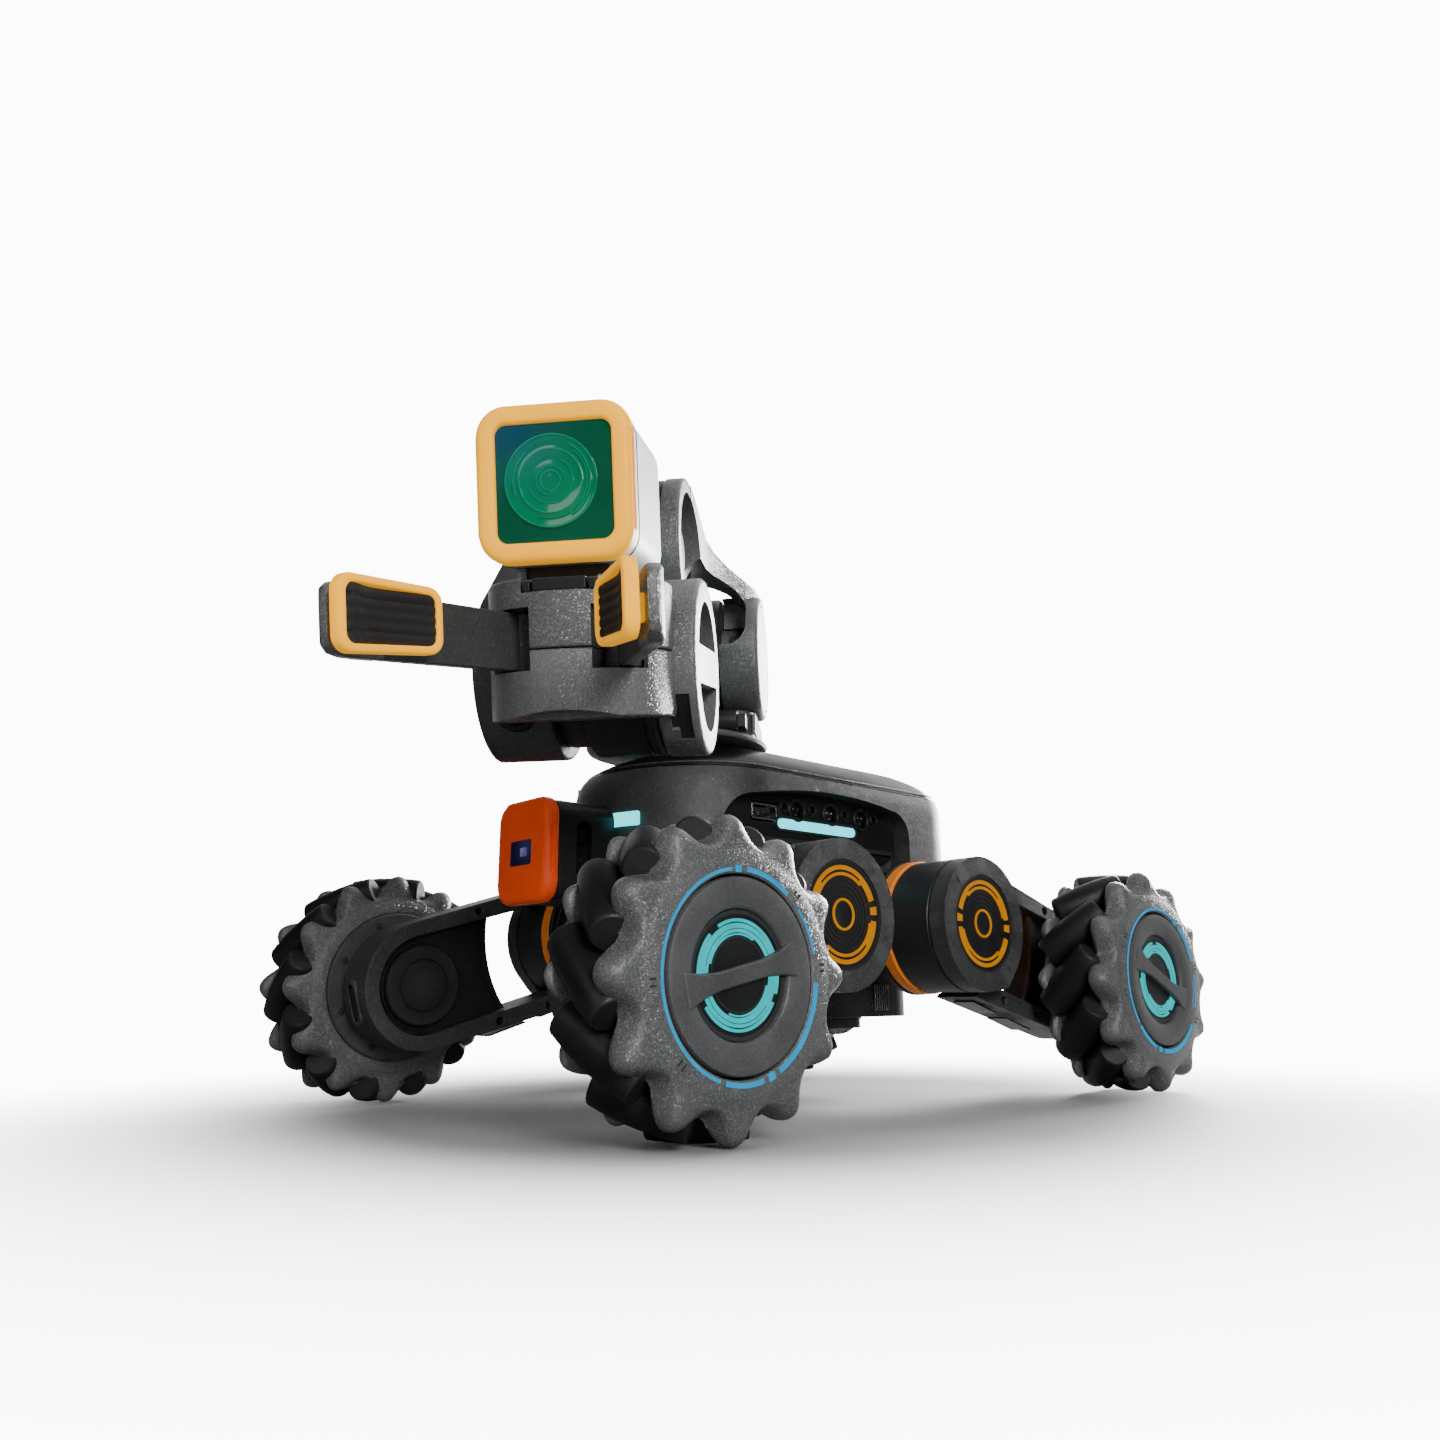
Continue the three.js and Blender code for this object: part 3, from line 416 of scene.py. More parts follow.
def rod(r, t0, t1, n=96, axis="x", at=(0, 0)):
    """A sharp-edged cylinder, for cutting."""
    return turned([(t0, 0), (t0, r), (t1, r), (t1, 0)], n, axis, at)


def box_outline(u0, u1, v0, v1):
    return [(u0, v0), (u1, v0), (u1, v1), (u0, v1)]


def block(x0, x1, y0, y1, z0, z1):
    return slab(box_outline(y0, y1, z0, z1), x0, x1)


def rounded(u0, u1, v0, v1, r, n=6):
    out = []
    corners = ((u1 - r, v0 + r), (u1 - r, v1 - r), (u0 + r, v1 - r), (u0 + r, v0 + r))
    for a, corner in zip((-90, 0, 90, 180), corners):
        out += arc_points(r, a, a + 90, n, corner)
    return out


def wrap(circles, n=48):
    """The outline that wraps a set of (u, v, radius) circles."""
    cloud = []
    for u, v, r in circles:
        cloud += circle(u, v, r, n)
    cloud.sort()

    def half(points):
        line = []
        for p in points:
            while len(line) > 1 and ((line[-1][0] - line[-2][0]) * (p[1] - line[-2][1])
                                     - (line[-1][1] - line[-2][1]) * (p[0] - line[-2][0])) <= 1e-9:
                line.pop()
            line.append(p)
        return line[:-1]
    return half(cloud) + half(cloud[::-1])


def placed(shape, m):
    return [([tuple(m @ Vector(v)) for v in verts], faces) for verts, faces in shape]


def both_sides(shape):
    return [part for side in SIDES.values() for part in placed(shape, mirror(side))]


def mesh_of(name, groups, place):
    """One mesh from shapes, each with its own material slot, faces turned outwards."""
    mesh = bpy.data.meshes.new(name)
    bm = bmesh.new()
    full = TO_FRAME @ place
    for slot_index, shape in enumerate(groups):
        for verts, faces in shape:
            made = [bm.verts.new(full @ Vector(v)) for v in verts]
            fresh = []
            for f in faces:
                try:
                    face = bm.faces.new([made[i] for i in f])
                except ValueError:
                    continue
                face.material_index = slot_index
                face.smooth = True
                fresh.append(face)
            bmesh.ops.recalc_face_normals(bm, faces=fresh)
    loose = [v for v in bm.verts if not v.link_faces]
    bmesh.ops.delete(bm, geom=loose, context="VERTS")
    bm.to_mesh(mesh)
    bm.free()
    mesh.set_sharp_from_angle(angle=rad(38))
    return mesh


def linked(o):
    bpy.context.scene.collection.objects.link(o)
    return o


def raw(name, shape, place=I4):
    return linked(bpy.data.objects.new(name, mesh_of(name, [shape], place)))


def cutter(shape, place=I4):
    return raw("cutter", shape, place)


def carve(o, *cutters, operation="DIFFERENCE", sharp=38):
    """Boolean cut with shapes already placed as objects; the result is applied and the cutters go."""
    for c in cutters:
        mod = o.modifiers.new("cut", "BOOLEAN")
        mod.operation = operation
        mod.solver = "EXACT"
        mod.object = c
    bpy.context.view_layer.update()
    done = bpy.data.meshes.new_from_object(o.evaluated_get(bpy.context.evaluated_depsgraph_get()))
    o.modifiers.clear()
    o.data = done
    for c in cutters:
        bpy.data.objects.remove(c)
    for p in done.polygons:
        p.use_smooth = True
    done.set_sharp_from_angle(angle=rad(sharp))
    return o


def dress(o, slot, materials, bevel=0.0, segments=2, main=False, angle=32):
    """Materials and bevel; the shape rides with the CAD node in slot, and a main shape stands for it."""
    for m in materials:
        o.data.materials.append(m)
    if bevel:
        mod = o.modifiers.new("bevel", "BEVEL")
        mod.width = bevel * 0.001
        mod.segments = segments
        mod.limit_method = "ANGLE"
        mod.angle_limit = rad(angle)
        mod.harden_normals = True
    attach(o, body_of(frame["nodes"][slot])[0])
    if main:
        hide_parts(slot)
    return o


def piece(name, slot, groups, materials, place=I4, bevel=0.0, segments=2, main=False, angle=32):
    o = linked(bpy.data.objects.new(name, mesh_of(name, groups, place)))
    return dress(o, slot, materials, bevel, segments, main, angle)


# ------------------------------------------------------------------ wheels
LOBES = 12
LOBE_STEP = 18
LOBE_VALLEY, LOBE_RISE = 40.4, 7.2
HUB_TURN = 12.5
HUB_TURNS = {(1, -1): 12.5, (1, 1): -24, (-1, -1): 40, (-1, 1): -15}
ROLLER_X, ROLLER_RING, ROLLER_R, ROLLER_END = 106.2, 40.3, 7.42, 15.4


def lobe_height(angle):
    """1 on the middle of a lobe, 0 in the valley between two."""
    return (0.5 + 0.5 * math.cos(LOBES * angle)) ** 0.9


def side_disc(face, back, hub, rim):
    """A lobed side disc from its hub opening to its scalloped edge; face and back are places along x."""
    n = LOBES * LOBE_STEP
    out = 1 if face > back else -1
    depth = abs(face - back)
    top = face - out * 1.1

    def row(x_of, radius_of):
        points = []
        for i in range(n):
            a = 2 * math.pi * i / n
            s = lobe_height(a)
            r = radius_of(LOBE_VALLEY + LOBE_RISE * s)
            points.append((x_of(s), r * math.cos(a), r * math.sin(a)))
        return points

    def flank(d):
        """A ring on the crowned flank, from the rim at d 0 to the lobes' edge at d 1."""
        fall = (d * d * (3 - 2 * d)) ** 1.7
        lobe_fall = 0.7 * d + 0.4 * depth * d ** 7
        return row(lambda s: top - out * ((1 - s) * 0.8 * depth * fall + s * lobe_fall),
                   lambda e: rim + (e - rim) * d)

    flat = ((back, hub), (face - out * 0.9, hub), (face - out * 0.3, hub + 0.5),
            (face - out * 0.2, hub + 1.6), (top + out * 0.3, rim - 0.6), (top, rim))
    rings = [row(lambda s: x, lambda e: r) for x, r in flat]
    rings += [flank(d) for d in (0.12, 0.28, 0.45, 0.62, 0.77, 0.88, 0.95, 1.0)]
    rings += [row(lambda s: back + out * x, lambda e: e + r) for x, r in ((1.6, 0.1), (0.5, -0.5), (0, -1.3))]
    rings.append(row(lambda s: back, lambda e: rim - 2))
    return loft(rings, ring_closed=True)


# arcs of the hub's rings: the cyan ones have two radii and two angles, the blue ones two angles and a width
CYAN_ARCS = ((15.3, 16.2, 20, 120), (15.3, 16.2, 135, 200), (15.3, 16.2, 215, 330), (15.3, 16.2, 340, 370),
             (11.4, 11.9, 60, 165), (11.4, 11.9, 250, 345))
BLUE_R = 30.6
BLUE_ARCS = ((52, 86, 1.5), (90.5, 95, 2.1), (98, 252, 1.0), (256, 284, 1.5), (288, 293, 2.1),
             (297, 356, 1.7), (12, 40, 0.8))
HUB_CAP = [(118, 0), (118, 28.5), (126.2, 28.5), (127.0, 28.1), (127.35, 27.2), (126.5, 20.0), (126.1, 19.4),
           (125.4, 19.0), (123.6, 18.8), (123.6, 0)]
HUB_FLOOR = [(122.5, 0), (122.5, 18.7), (125.0, 18.7), (125.0, 17.4), (124.75, 17.35), (124.75, 11.1),
             (124.95, 11.05), (124.95, 10.4), (124.8, 10.35), (124.8, 0)]
HANDLE_EDGE = [(-22.5, -5.6), (-16, -3.6), (-9, -2.7), (9, -2.7), (16, -3.6), (22.5, -5.6)]


def hub_marks():
    cyan = ring(12.2, 14.9, 124.6, 125.3, 96, edge=0.08)
    for r0, r1, a0, a1 in CYAN_ARCS:
        cyan += arc(r0, r1, a0, a1, 124.6, 125.3)
    blue, ticks = [], []
    for a0, a1, w in BLUE_ARCS:
        blue += arc(BLUE_R - w * 0.5, BLUE_R + w * 0.5, a0, a1, 126.6, 127.22)
    for a in (46, 4, 184, 226):
        for k in (-1.6, 1.6):
            ticks += arc(32.4, 34.6, a + k - 0.5, a + k + 0.5, 126.4, 126.95)
    lines = arc(13.2, 13.4, 15, 170, 125.2, 125.36) + arc(13.7, 13.9, 190, 320, 125.2, 125.36)
    return [cyan, blue, ticks + lines]


def rollers(hand):
    """The barrels, each leaning with its end caps against the lobes of both discs."""
    end = ROLLER_END
    profile = [(-end, 0), (-end, 5.6), (0.4 - end, 6.1)]
    profile += [(t, ROLLER_R - (t / 14.0) ** 2) for t in (-14.4, -10, -6, -2, 2, 6, 10, 14.4)]
    profile += [(end - 0.4, 6.1), (end, 5.6), (end, 0)]
    barrels = []
    for i in range(LOBES):
        a = 2 * math.pi * i / LOBES
        axis = Vector((1, -hand * math.sin(a), hand * math.cos(a))).normalized()
        lean = Vector((1, 0, 0)).rotation_difference(axis).to_matrix().to_4x4()
        centre = Vector((ROLLER_X, ROLLER_RING * math.cos(a), ROLLER_RING * math.sin(a)))
        barrels += placed(turned(profile, 28), shift(*centre) @ lean)
    return barrels


def build_wheel(side, end):
    tag = corner_name(side, end)
    place = wheel_place(side, end)
    spin = HUB_TURNS[side, end]
    marks_place = place @ turn(spin - HUB_TURN, "X")

    def part(name, slot, groups, materials, at=place, **look):
        piece(f"{name}_{tag}", f"wheel_{slot}_{tag}", groups, materials, at, **look)

    part("outer_disc", "outer_disc", [side_disc(127.3, 117.3, 29.3, 36.8)], [GRAIN], main=True)
    part("hub_cap", "outer_disc", [turned(HUB_CAP, 96)], [HUB])
    part("hub_floor", "outer_disc", [turned(HUB_FLOOR, 96)], [BLACK], marks_place)
    handle = HANDLE_EDGE + [(y, -z) for y, z in reversed(HANDLE_EDGE)]
    part("hub_handle", "outer_disc", [slab(handle, 123.0, 127.35)], [HUB], place @ turn(spin, "X"), bevel=0.9,
         segments=3)
    part("hub_marks", "outer_disc", hub_marks(), [CYAN, BLUE, BLACK], marks_place, bevel=0.08, segments=1)
    core = turned([(96.2, 21), (96.2, 32.5), (99, 33.6), (113, 33.6), (116.8, 32.5), (116.8, 21)], 60)
    part("rollers", "rollers", [rollers(-end), core], [RUBBER, BLACK], main=True)
    part("inner_disc", "inner_disc", [side_disc(90.6, 97.6, 31.0, 36.8)], [GRAIN], main=True)
    part("inner_collar", "inner_disc", [ring(22.6, 31.0, 89.6, 97.4, 96, edge=0.7)], [GRAIN_DARK])
    screws = []
    for k in range(8):
        a = rad(22.5 + 45 * k)
        screws += turned([(89.3, 0), (89.3, 0.9), (89.5, 1.7), (90.4, 1.7), (90.4, 0)], 20,
                         at=(27.0 * math.cos(a), 27.0 * math.sin(a)))
    part("inner_screws", "inner_disc", [screws], [BLACK])


# ------------------------------------------------------------------ legs
CAP_LUG = (17.6, -18.6, 4.0)
LEG_END_R, MOTOR_ROOM, WEB_R = 26.5, 20.3, 54.0
BAR_START = (9.5, 28.3)
SERVO_ROOM = 28.45
HIP_COLLAR = [(58.2, 18), (58.2, 28.0), (58.8, 28.6), (63.6, 28.6), (64.1, 28.1), (64.1, 18)]
HIP_DRUM = [(64.3, 0), (64.3, 27.2), (64.9, 27.9), (84.6, 28.0), (84.9, 27.6), (85.4, 27.6), (85.7, 28.0),
            (86.0, 28.0), (86.0, 0)]
MOTOR = [(66.6, 0), (66.6, 10.2), (66.9, 10.35), (66.9, 10.8), (66.6, 10.95), (66.6, 15.8), (67.3, 16.5),
         (69.5, 16.6), (69.5, 17.6), (85.3, 17.6), (85.3, 21.4), (87.5, 21.8), (98.6, 21.8), (98.6, 0)]


def servo_marks():
    marks = ring(5.0, 5.9, 92.3, 93.0, 64, edge=0.08)
    for a0, a1 in ((14, 168), (194, 346)):
        marks += arc(16.4, 18.0, a0, a1, 92.6, 93.15)
        marks += arc(14.3, 15.4, a0 + 4, a1 - 30, 92.4, 93.05)
        marks += arc(15.4, 16.4, a0, a0 + 36, 92.5, 93.1) + arc(15.4, 16.4, a1 - 34, a1, 92.5, 93.1)
    for a in (2, 181):
        marks += arc(15.2, 18.4, a - 5, a + 5, 92.6, 93.2)
    return marks


def leg_outline(lean):
    """Two bars from the servo to a round end about the motor, as one outline with the rooms of both."""
    u, v = BAR_START
    outer = [(u, v)] + arc_points(LEG_END_R, 90 - lean, -90 + lean, 40, (LEG_LEN, 0)) + [(u, -v)]
    a_out = math.degrees(math.atan2(v, u))
    a_in = math.degrees(math.asin(MOTOR_ROOM / SERVO_ROOM))
    inner = arc_points(SERVO_ROOM, -a_out, -a_in, 6)[1:] + arc_points(MOTOR_ROOM, -90, 90, 30, (LEG_LEN, 0))
    return outer + inner + arc_points(SERVO_ROOM, a_in, a_out, 6)[:-1]


def leg_web():
    """The curved web between the bars, with its raised rib."""
    room = MOTOR_ROOM - 0.2
    a = math.degrees(math.asin(room / WEB_R))
    edge = arc_points(WEB_R, -a, a, 16)
    return (slab(edge + arc_points(room, 90, -90, 30, (LEG_LEN, 0)), 70.5, 79.5)
            + slab(edge + arc_points(WEB_R + 2.2, a - 1.5, -a + 1.5, 16), 69.0, 81.0))


def build_leg(side, end):
    tag = corner_name(side, end)
    place = leg_place(side, end)

    def part(name, slot, groups, materials, at=place, **look):
        piece(f"{name}_{tag}", f"{slot}_{tag}", groups, materials, at, **look)

    part("collar", "hip_collar", [turned(HIP_COLLAR, 96)], [COLLAR], hip_place(side, end), main=True)
    part("servo_body", "hip_servo", [turned(HIP_DRUM, 96)], [BLACK])
    cap = slab(wrap([(0, 0, SERVO_R), CAP_LUG], 96), 86.1, 93.6, holes=[arc_points(20.3, 360, 7.5, 47)])
    part("servo_cap", "hip_servo", [cap], [GRAIN_DARK], bevel=1.3, segments=3, main=True)
    ripple = [(87, 0), (87, 20.2), (92.9, 20.2), (92.9, 19.2)]
    for r in (12.6, 10.8, 9.0, 7.2):
        ripple += [(92.5, r + 0.5), (92.62, r + 0.2), (92.62, r - 0.2), (92.5, r - 0.5)]
    part("servo_face", "hip_servo", [turned(ripple + [(92.5, 0)], 80)], [BLACK])
    part("servo_marks", "hip_servo", [servo_marks()], [YELLOW], place @ turn(8, "X"), bevel=0.06, segments=1)
    ticks = []
    for a in (35, 150, 215, 325):
        for b in (a - 1.2, a + 0.8):
            ticks += arc(23.0, 25.2, b, b + 1.0, 93.3, 93.72)
    part("servo_ticks", "hip_servo", [ticks], [BLACK])

    lean = math.degrees(math.asin((28.4 - LEG_END_R) / LEG_LEN))
    pin_holes = [arc_points(1.8, 360, 24, 14, p) for p in ((56, 24.0), (56, -24.0), (30, 24.4), (30, -24.4))]
    part("leg_frame_look", "leg_frame", [slab(leg_outline(lean), 64.6, 85.2, holes=pin_holes)], [GRAIN_DARK],
         bevel=1.1, segments=3, main=True)
    part("leg_web", "leg_frame", [leg_web()], [BLACK], bevel=0.4)
    slots = block(70, 80, 16, 33, -28.62, -27.9) + block(70, 80, 41, 60, -28.62, -27.9)
    part("leg_slots", "leg_frame", [placed(slots, turn(-lean, "X"))], [GLOSS], bevel=0.1)
    part("motor_look", "wheel_motor", [turned(MOTOR, 80, at=(LEG_LEN, 0))], [BLACK], main=True)
    rim = slab(rounded(72, 80.5, -9.5, 9.5, 4.2), LEG_LEN + 24.6, LEG_LEN + 26.9, axis="y",
               holes=[rounded(73.6, 78.9, -7.6, 7.6, 2.6)])
    part("cable_port", "leg_frame", [rim], [GRAIN_DARK], bevel=0.3)
    dark = slab(rounded(73.8, 78.7, -7.4, 7.4, 2.4), LEG_LEN + 24.4, LEG_LEN + 26.66, axis="y")
    part("cable_socket", "leg_frame", [dark], [GLOSS], bevel=0.1)


for side, end in CORNERS:
    build_wheel(side, end)
    build_leg(side, end)


# ------------------------------------------------------------------ body
NOSE_Y, FRONT_Y, REAR_Y = -38.0, -89.0, 90.0
HALF_WIDTH, REAR_CORNER, VENT_R = 50, 21, 48.6
# levels of the shell: height, how far its sides lean in, how far its front does
SKIN = ((99, 0, 0), (124, 0, 0), (129, 0.2, 1.4), (132.5, 0.8, 4), (135, 2.0, 6.8), (137, 3.5, 10),
        (139.4, 6.0, 15), (141.5, 9, 21), (143.4, 12.3, 26.5), (144.8, 16, 32), (145.8, 21, 39),
        (146.3, 26, 46))


def body_outline(inset, front, grow=0.0):
    half = HALF_WIDTH - inset + grow
    reach = NOSE_Y - (FRONT_Y + front) + grow
    out = []
    for i in range(41):
        t = math.pi + math.pi * i / 40
        out.append((half * math.cos(t), NOSE_Y + reach * math.sin(t)))
    r = REAR_CORNER - inset * 0.5
    rear = REAR_Y - inset * 1.8 - r + grow
    for x, a in ((half - r, 0), (r - half, 90)):
        out += arc_points(r, a, a + 90, 12, (x, rear))
    return out


def skin(levels, grow=0.0):
    return loft([[(x, y, z) for x, y in body_outline(a, b, grow)] for z, a, b in levels])


def window(grow, x0, x1, low=60.0):
    """The arched side opening as a cutter; its top edge is bowed like the shell."""
    y0, y1 = -60.5 - grow, 52 + grow
    r = 12.0
    out = [(y0, low), (y1, low), (y1, 113.5)]
    out += arc_points(r, 0, 90, 8, (y1 - r, 112.0 + grow))
    for i in range(1, 12):
        k = i / 12
        y = y1 - r + (y0 + r + 4 - (y1 - r)) * k
        out.append((y, 124 + grow + 4.0 * math.sin(math.pi * k) ** 0.8 - 1.5 * k))
    out += arc_points(15, 90, 180, 8, (y0 + 15, 107.6 + grow))
    return slab(out, x0, x1)


SEAM = 132.7
shell = raw("shell", skin([lv for lv in SKIN if lv[0] < 132] + [(SEAM, 0.8, 4)]))
carve(shell,
      cutter(window(0, -60, -38.4)), cutter(window(0, 38.4, 60)),
      cutter(slab(rounded(-36, 36, -62, 86, 14), 90, 129.5, axis="z")),
      cutter(slab(box_outline(-60, 60, -100, -66.8), 90, 140, axis="z")),
      cutter(block(20, 39, -41.5, -24.5, 112.5, 121.5)))
dress(shell, "body_shell", [GRAIN_DARK], 1.5, 3, main=True, angle=40)

nose = raw("nose", skin(SKIN[:3] + ((SEAM, 0.8, 4),)))
carve(nose, cutter(slab(box_outline(-60, 60, -66.5, 100), 90, 140, axis="z")),
      cutter(slab(rounded(-25, 25, -76, -50, 8), 90, 126, axis="z")))
dress(nose, "top_cover", [GRAIN_DARK], 0.8, 2, angle=40)

lid_levels = [(133.1, 1.4, 4.6)] + [lv for lv in SKIN if lv[0] > 134]
dome = raw("dome", skin(lid_levels))
carve(dome, cutter(rod(11.5, 120, 150, 48, "z", TURNTABLE_AT)), cutter(rod(7.4, 141.5, 150, 32, "z", KEY_AT)))
dress(dome, "top_cover", [GLOSS], 0.6, 2, main=True, angle=40)
# the band round the foot of the dome is lighter grey than the black lid: a painted highlight along the lid's
# lit edge
band = [(z, a - 0.25, b - 0.25) for z, a, b in ((134.4, 1.75, 6.0), (135.2, 2.1, 7.0))]
piece("dome_band", "top_cover", [skin(band)], [HUB], bevel=0.1)
vents = []
for k in range(9):
    a = 200 + k * 4.2
    x, y = VENT_R * math.cos(rad(a)), NOSE_Y + VENT_R * math.sin(rad(a))
    vents += placed(block(-0.7, 0.7, -0.8, 1.2, 126.5, 131.0), shift(x, y, 0) @ turn(a - 90, "Z"))
piece("nose_vents", "top_cover", [vents], [GLOSS], bevel=0.15)
piece("power_key", "power_button",
      [drum(6.9, 144.4, 148.4, 1.2, 48, "z", KEY_AT)], [HUB], main=True)

front_led = arc(51.0, 52.4, 244, 296, 108.6, 114.4, (0, NOSE_Y), "z")
piece("front_lamp", "front_light", [front_led], [LED], bevel=1.0, segments=3, main=True)


BIG_PORTS = [(-14, 119.3), (7.5, 119.6), (28, 119.4)]
SMALL_PORTS = [(-21.5, 120.5), (-4, 120.6), (17, 120.6), (37, 120.2)]


def port_wall(side, name):
    slot = f"port_panel_{name}"
    m = mirror(side)
    holes = [rounded(-26, 24, 110.6, 115.4, 2.2)]
    if side > 0:
        holes.append(rounded(-41, -25, 112.8, 121.2, 1.0))
    holes += [arc_points(3.6, 360, 15, 23, p) for p in BIG_PORTS]
    holes += [arc_points(1.5, 360, 24, 14, p) for p in SMALL_PORTS]
    # the wall's extra-dark black is painted shade for its recess
    wall = slab(rounded(-60, 51.5, 100, 127, 11), 38.6, 41.5, holes=holes)
    piece(f"port_wall_{name}", slot, [wall], [PORT_BLACK_AND_SHADE], m, bevel=0.35, main=True)
    rims, floors, pins = [], [], []
    for u, v in BIG_PORTS:
        rims += placed(ring(3.9, 5.3, 41.2, 42.4, 40, edge=0.35), shift(0, u, v))
        floors += placed(drum(3.5, 38.8, 39.4, 0.2, 32), shift(0, u, v))
        for a in (30, 150, 270):
            pin = shift(0, u + 1.7 * math.cos(rad(a)), v + 1.7 * math.sin(rad(a)))
            pins += placed(drum(0.45, 39, 41.2, 0.2, 12), pin)
    for u, v in SMALL_PORTS:
        rims += placed(ring(1.6, 2.5, 41.2, 42.1, 28, edge=0.25), shift(0, u, v))
        floors += placed(drum(1.45, 38.8, 39.4, 0.2, 20), shift(0, u, v))
    rims += slab(rounded(-27.2, 25.2, 109.6, 116.4, 2.8), 41.3, 41.9,
                 holes=[rounded(-25.8, 23.8, 110.8, 115.2, 2.0)])
    ledge = block(38.8, 43.2, -57, 47, 104.4, 106.4)
    piece(f"port_rims_{name}", slot, [rims, floors, pins, ledge], [GLOSS, PORT_BLACK_AND_SHADE, STEEL, PORT_BLACK_AND_SHADE], m, bevel=0.1,
          segments=1)
    light = slab(rounded(-25, 23, 111.0, 115.0, 1.9), 39.2, 42.3)
    piece(f"side_lamp_{name}", f"side_light_{name}", [light], [LED], m, bevel=0.5, main=True)


for side_name, side in SIDES.items():
    port_wall(side, side_name)
usb = slab(rounded(-40.3, -25.7, 113.7, 120.3, 0.8), 30, 41.4,
           holes=[rounded(-39.7, -26.3, 114.3, 119.7, 0.5)])
usb += block(30, 31, -40.0, -26.0, 114.0, 120.0)
tongue = block(30.5, 39.6, -38, -28, 117.3, 118.9)
contacts = []
for k in range(4):
    contacts += block(33, 39.2, -36.6 + k * 2.5, -35.5 + k * 2.5, 117.1, 117.4)
piece("usb_shell", "usb_port", [usb, tongue, contacts], [STEEL, GLOSS, STEEL], bevel=0.12, segments=1,
      main=True)

deck = slab(rounded(-40, 40, -72, 72, 12), 58, 98, axis="z")
bosses, rails = [], []
for side, end in CORNERS:
    m = hip_place(side, end)
    bosses += placed(drum(24.5, 36, 57.8, 1.0, 64), m)
    bosses += placed(drum(28.9, 55.2, 57.9, 0.8, 96), m)
    rails += placed(ring(25.0, 26.4, 54.6, 57.4, 72, edge=0.5), m)
rails += both_sides(block(39, 43.5, -16, 16, 62, 95) + block(43, 44.2, -11, 11, 67, 90)
                    + block(39, 45, -68, 68, 96.0, 98.6))
piece("chassis_box", "chassis_frame", [deck, bosses, rails], [BLACK, BLACK, BLACK], bevel=0.8,
      main=True)
screw = [(44, 0), (44, 1.9), (45.0, 1.9), (45.3, 1.5), (45.3, 0.8), (44.9, 0.7), (44.9, 0)]
screws = []
for side in SIDES.values():
    for y, z in ((-9, 69), (9, 69), (-9, 88), (9, 88)):
        screws += placed(turned(screw, 24), mirror(side) @ shift(0, y, z))
piece("chassis_screws", "chassis_frame", [screws], [STEEL])

pack_shape = slab(rounded(-35, 35, -66, 72, 17, 10), 33, 49, axis="z")
neck_shape = slab(rounded(-25, 25, -55, 60, 6), 48.5, 57.8, axis="z")
foot_shape = slab(rounded(-22, 22, -40, 50, 8), 28, 33.4, axis="z")
piece("battery_case", "battery_pack", [pack_shape, neck_shape, foot_shape], [GLOSS, BLACK, BLACK], bevel=1.8,
      segments=3, main=True)
ribs = []
for k in range(7):
    ribs += both_sides(block(34.4, 35.5, 40 + k * 1.5, 40.8 + k * 1.5, 35.5, 47))
piece("battery_ribs", "battery_pack", [ribs], [HUB], bevel=0.2)
recess = slab(rounded(-16, 16, -30, 40, 3), 27.95, 28.4, axis="z", holes=[rounded(-15, 15, -29, 39, 2.4)])
piece("battery_label_recess", "battery_pack", [recess], [HUB], bevel=0.05, segments=1)
for name, material in (("controller_board", BOARD), ("turret_servo", BLACK)):
    frame["nodes"][name].data.materials.clear()
    frame["nodes"][name].data.materials.append(material)


# ------------------------------------------------------------------ range sensor
def square_ring(half, r, y, centre, n=6):
    (u, v), (half_u, half_v) = centre, half
    return [(a, y, b) for a, b in rounded(u - half_u, u + half_u, v - half_v, v + half_v, r, n)]


def sensor_loft(*rows):
    """A box along y with rounded corners; a row is half the width, half the height, corner radius and y."""
    return loft([square_ring((w, h), r, y, SENSOR_MIDDLE) for w, h, r, y in rows])


SENSOR_MIDDLE = (0, 97.25)
sensor_cap = raw("sensor_cap_look", sensor_loft(
    (16.4, 18.9, 6.2, -118.8), (17.3, 19.8, 7.2, -119.0), (17.6, 20.2, 7.6, -119.6),
    (17.7, 20.25, 7.8, -122.2), (17.3, 19.9, 7.6, -123.6), (16.3, 18.9, 7.0, -124.5),
    (14.8, 17.4, 6.2, -124.8)))
carve(sensor_cap, cutter(slab(rounded(-7.5, 7.5, 91.6, 101.4, 1.0), -126, -123.4, axis="y")),
      cutter(slab(rounded(-122.9, -120.9, 88, 106, 0.95), 17.2, 19)),
      cutter(slab(rounded(-122.9, -120.9, 88, 106, 0.95), -19, -17.2)))
dress(sensor_cap, "sensor_cap", [ORANGE], 0.25, 2, main=True, angle=40)
housing = raw("sensor_housing_look", sensor_loft(
    (16.0, 18.4, 5.5, -118.4), (16.8, 19.3, 6.4, -118.1), (17.0, 19.5, 6.8, -117.0), (17.0, 19.5, 6.8, -93.0),
    (16.4, 18.9, 6.4, -92.2)))
carve(housing, cutter(slab(rounded(-110.5, -103.2, 86, 108.5, 3.6), 13.0, 19)),
      cutter(slab(rounded(-110.5, -103.2, 86, 108.5, 3.6), -19, -13.0)))
dress(housing, "sensor_housing", [BLACK], 0.3, 2, main=True, angle=40)
piece("sensor_bracket", "sensor_housing", [block(-10, 10, -93, -72.3, 82, 97)], [BLACK], bevel=0.8)
slot_plugs = []
for side in SIDES.values():
    for z in (91.5, 103):
        slot_plugs += placed(drum(2.7, 12.5, 15.0, 0.5, 24, "x", (-106.8, z)), mirror(side))
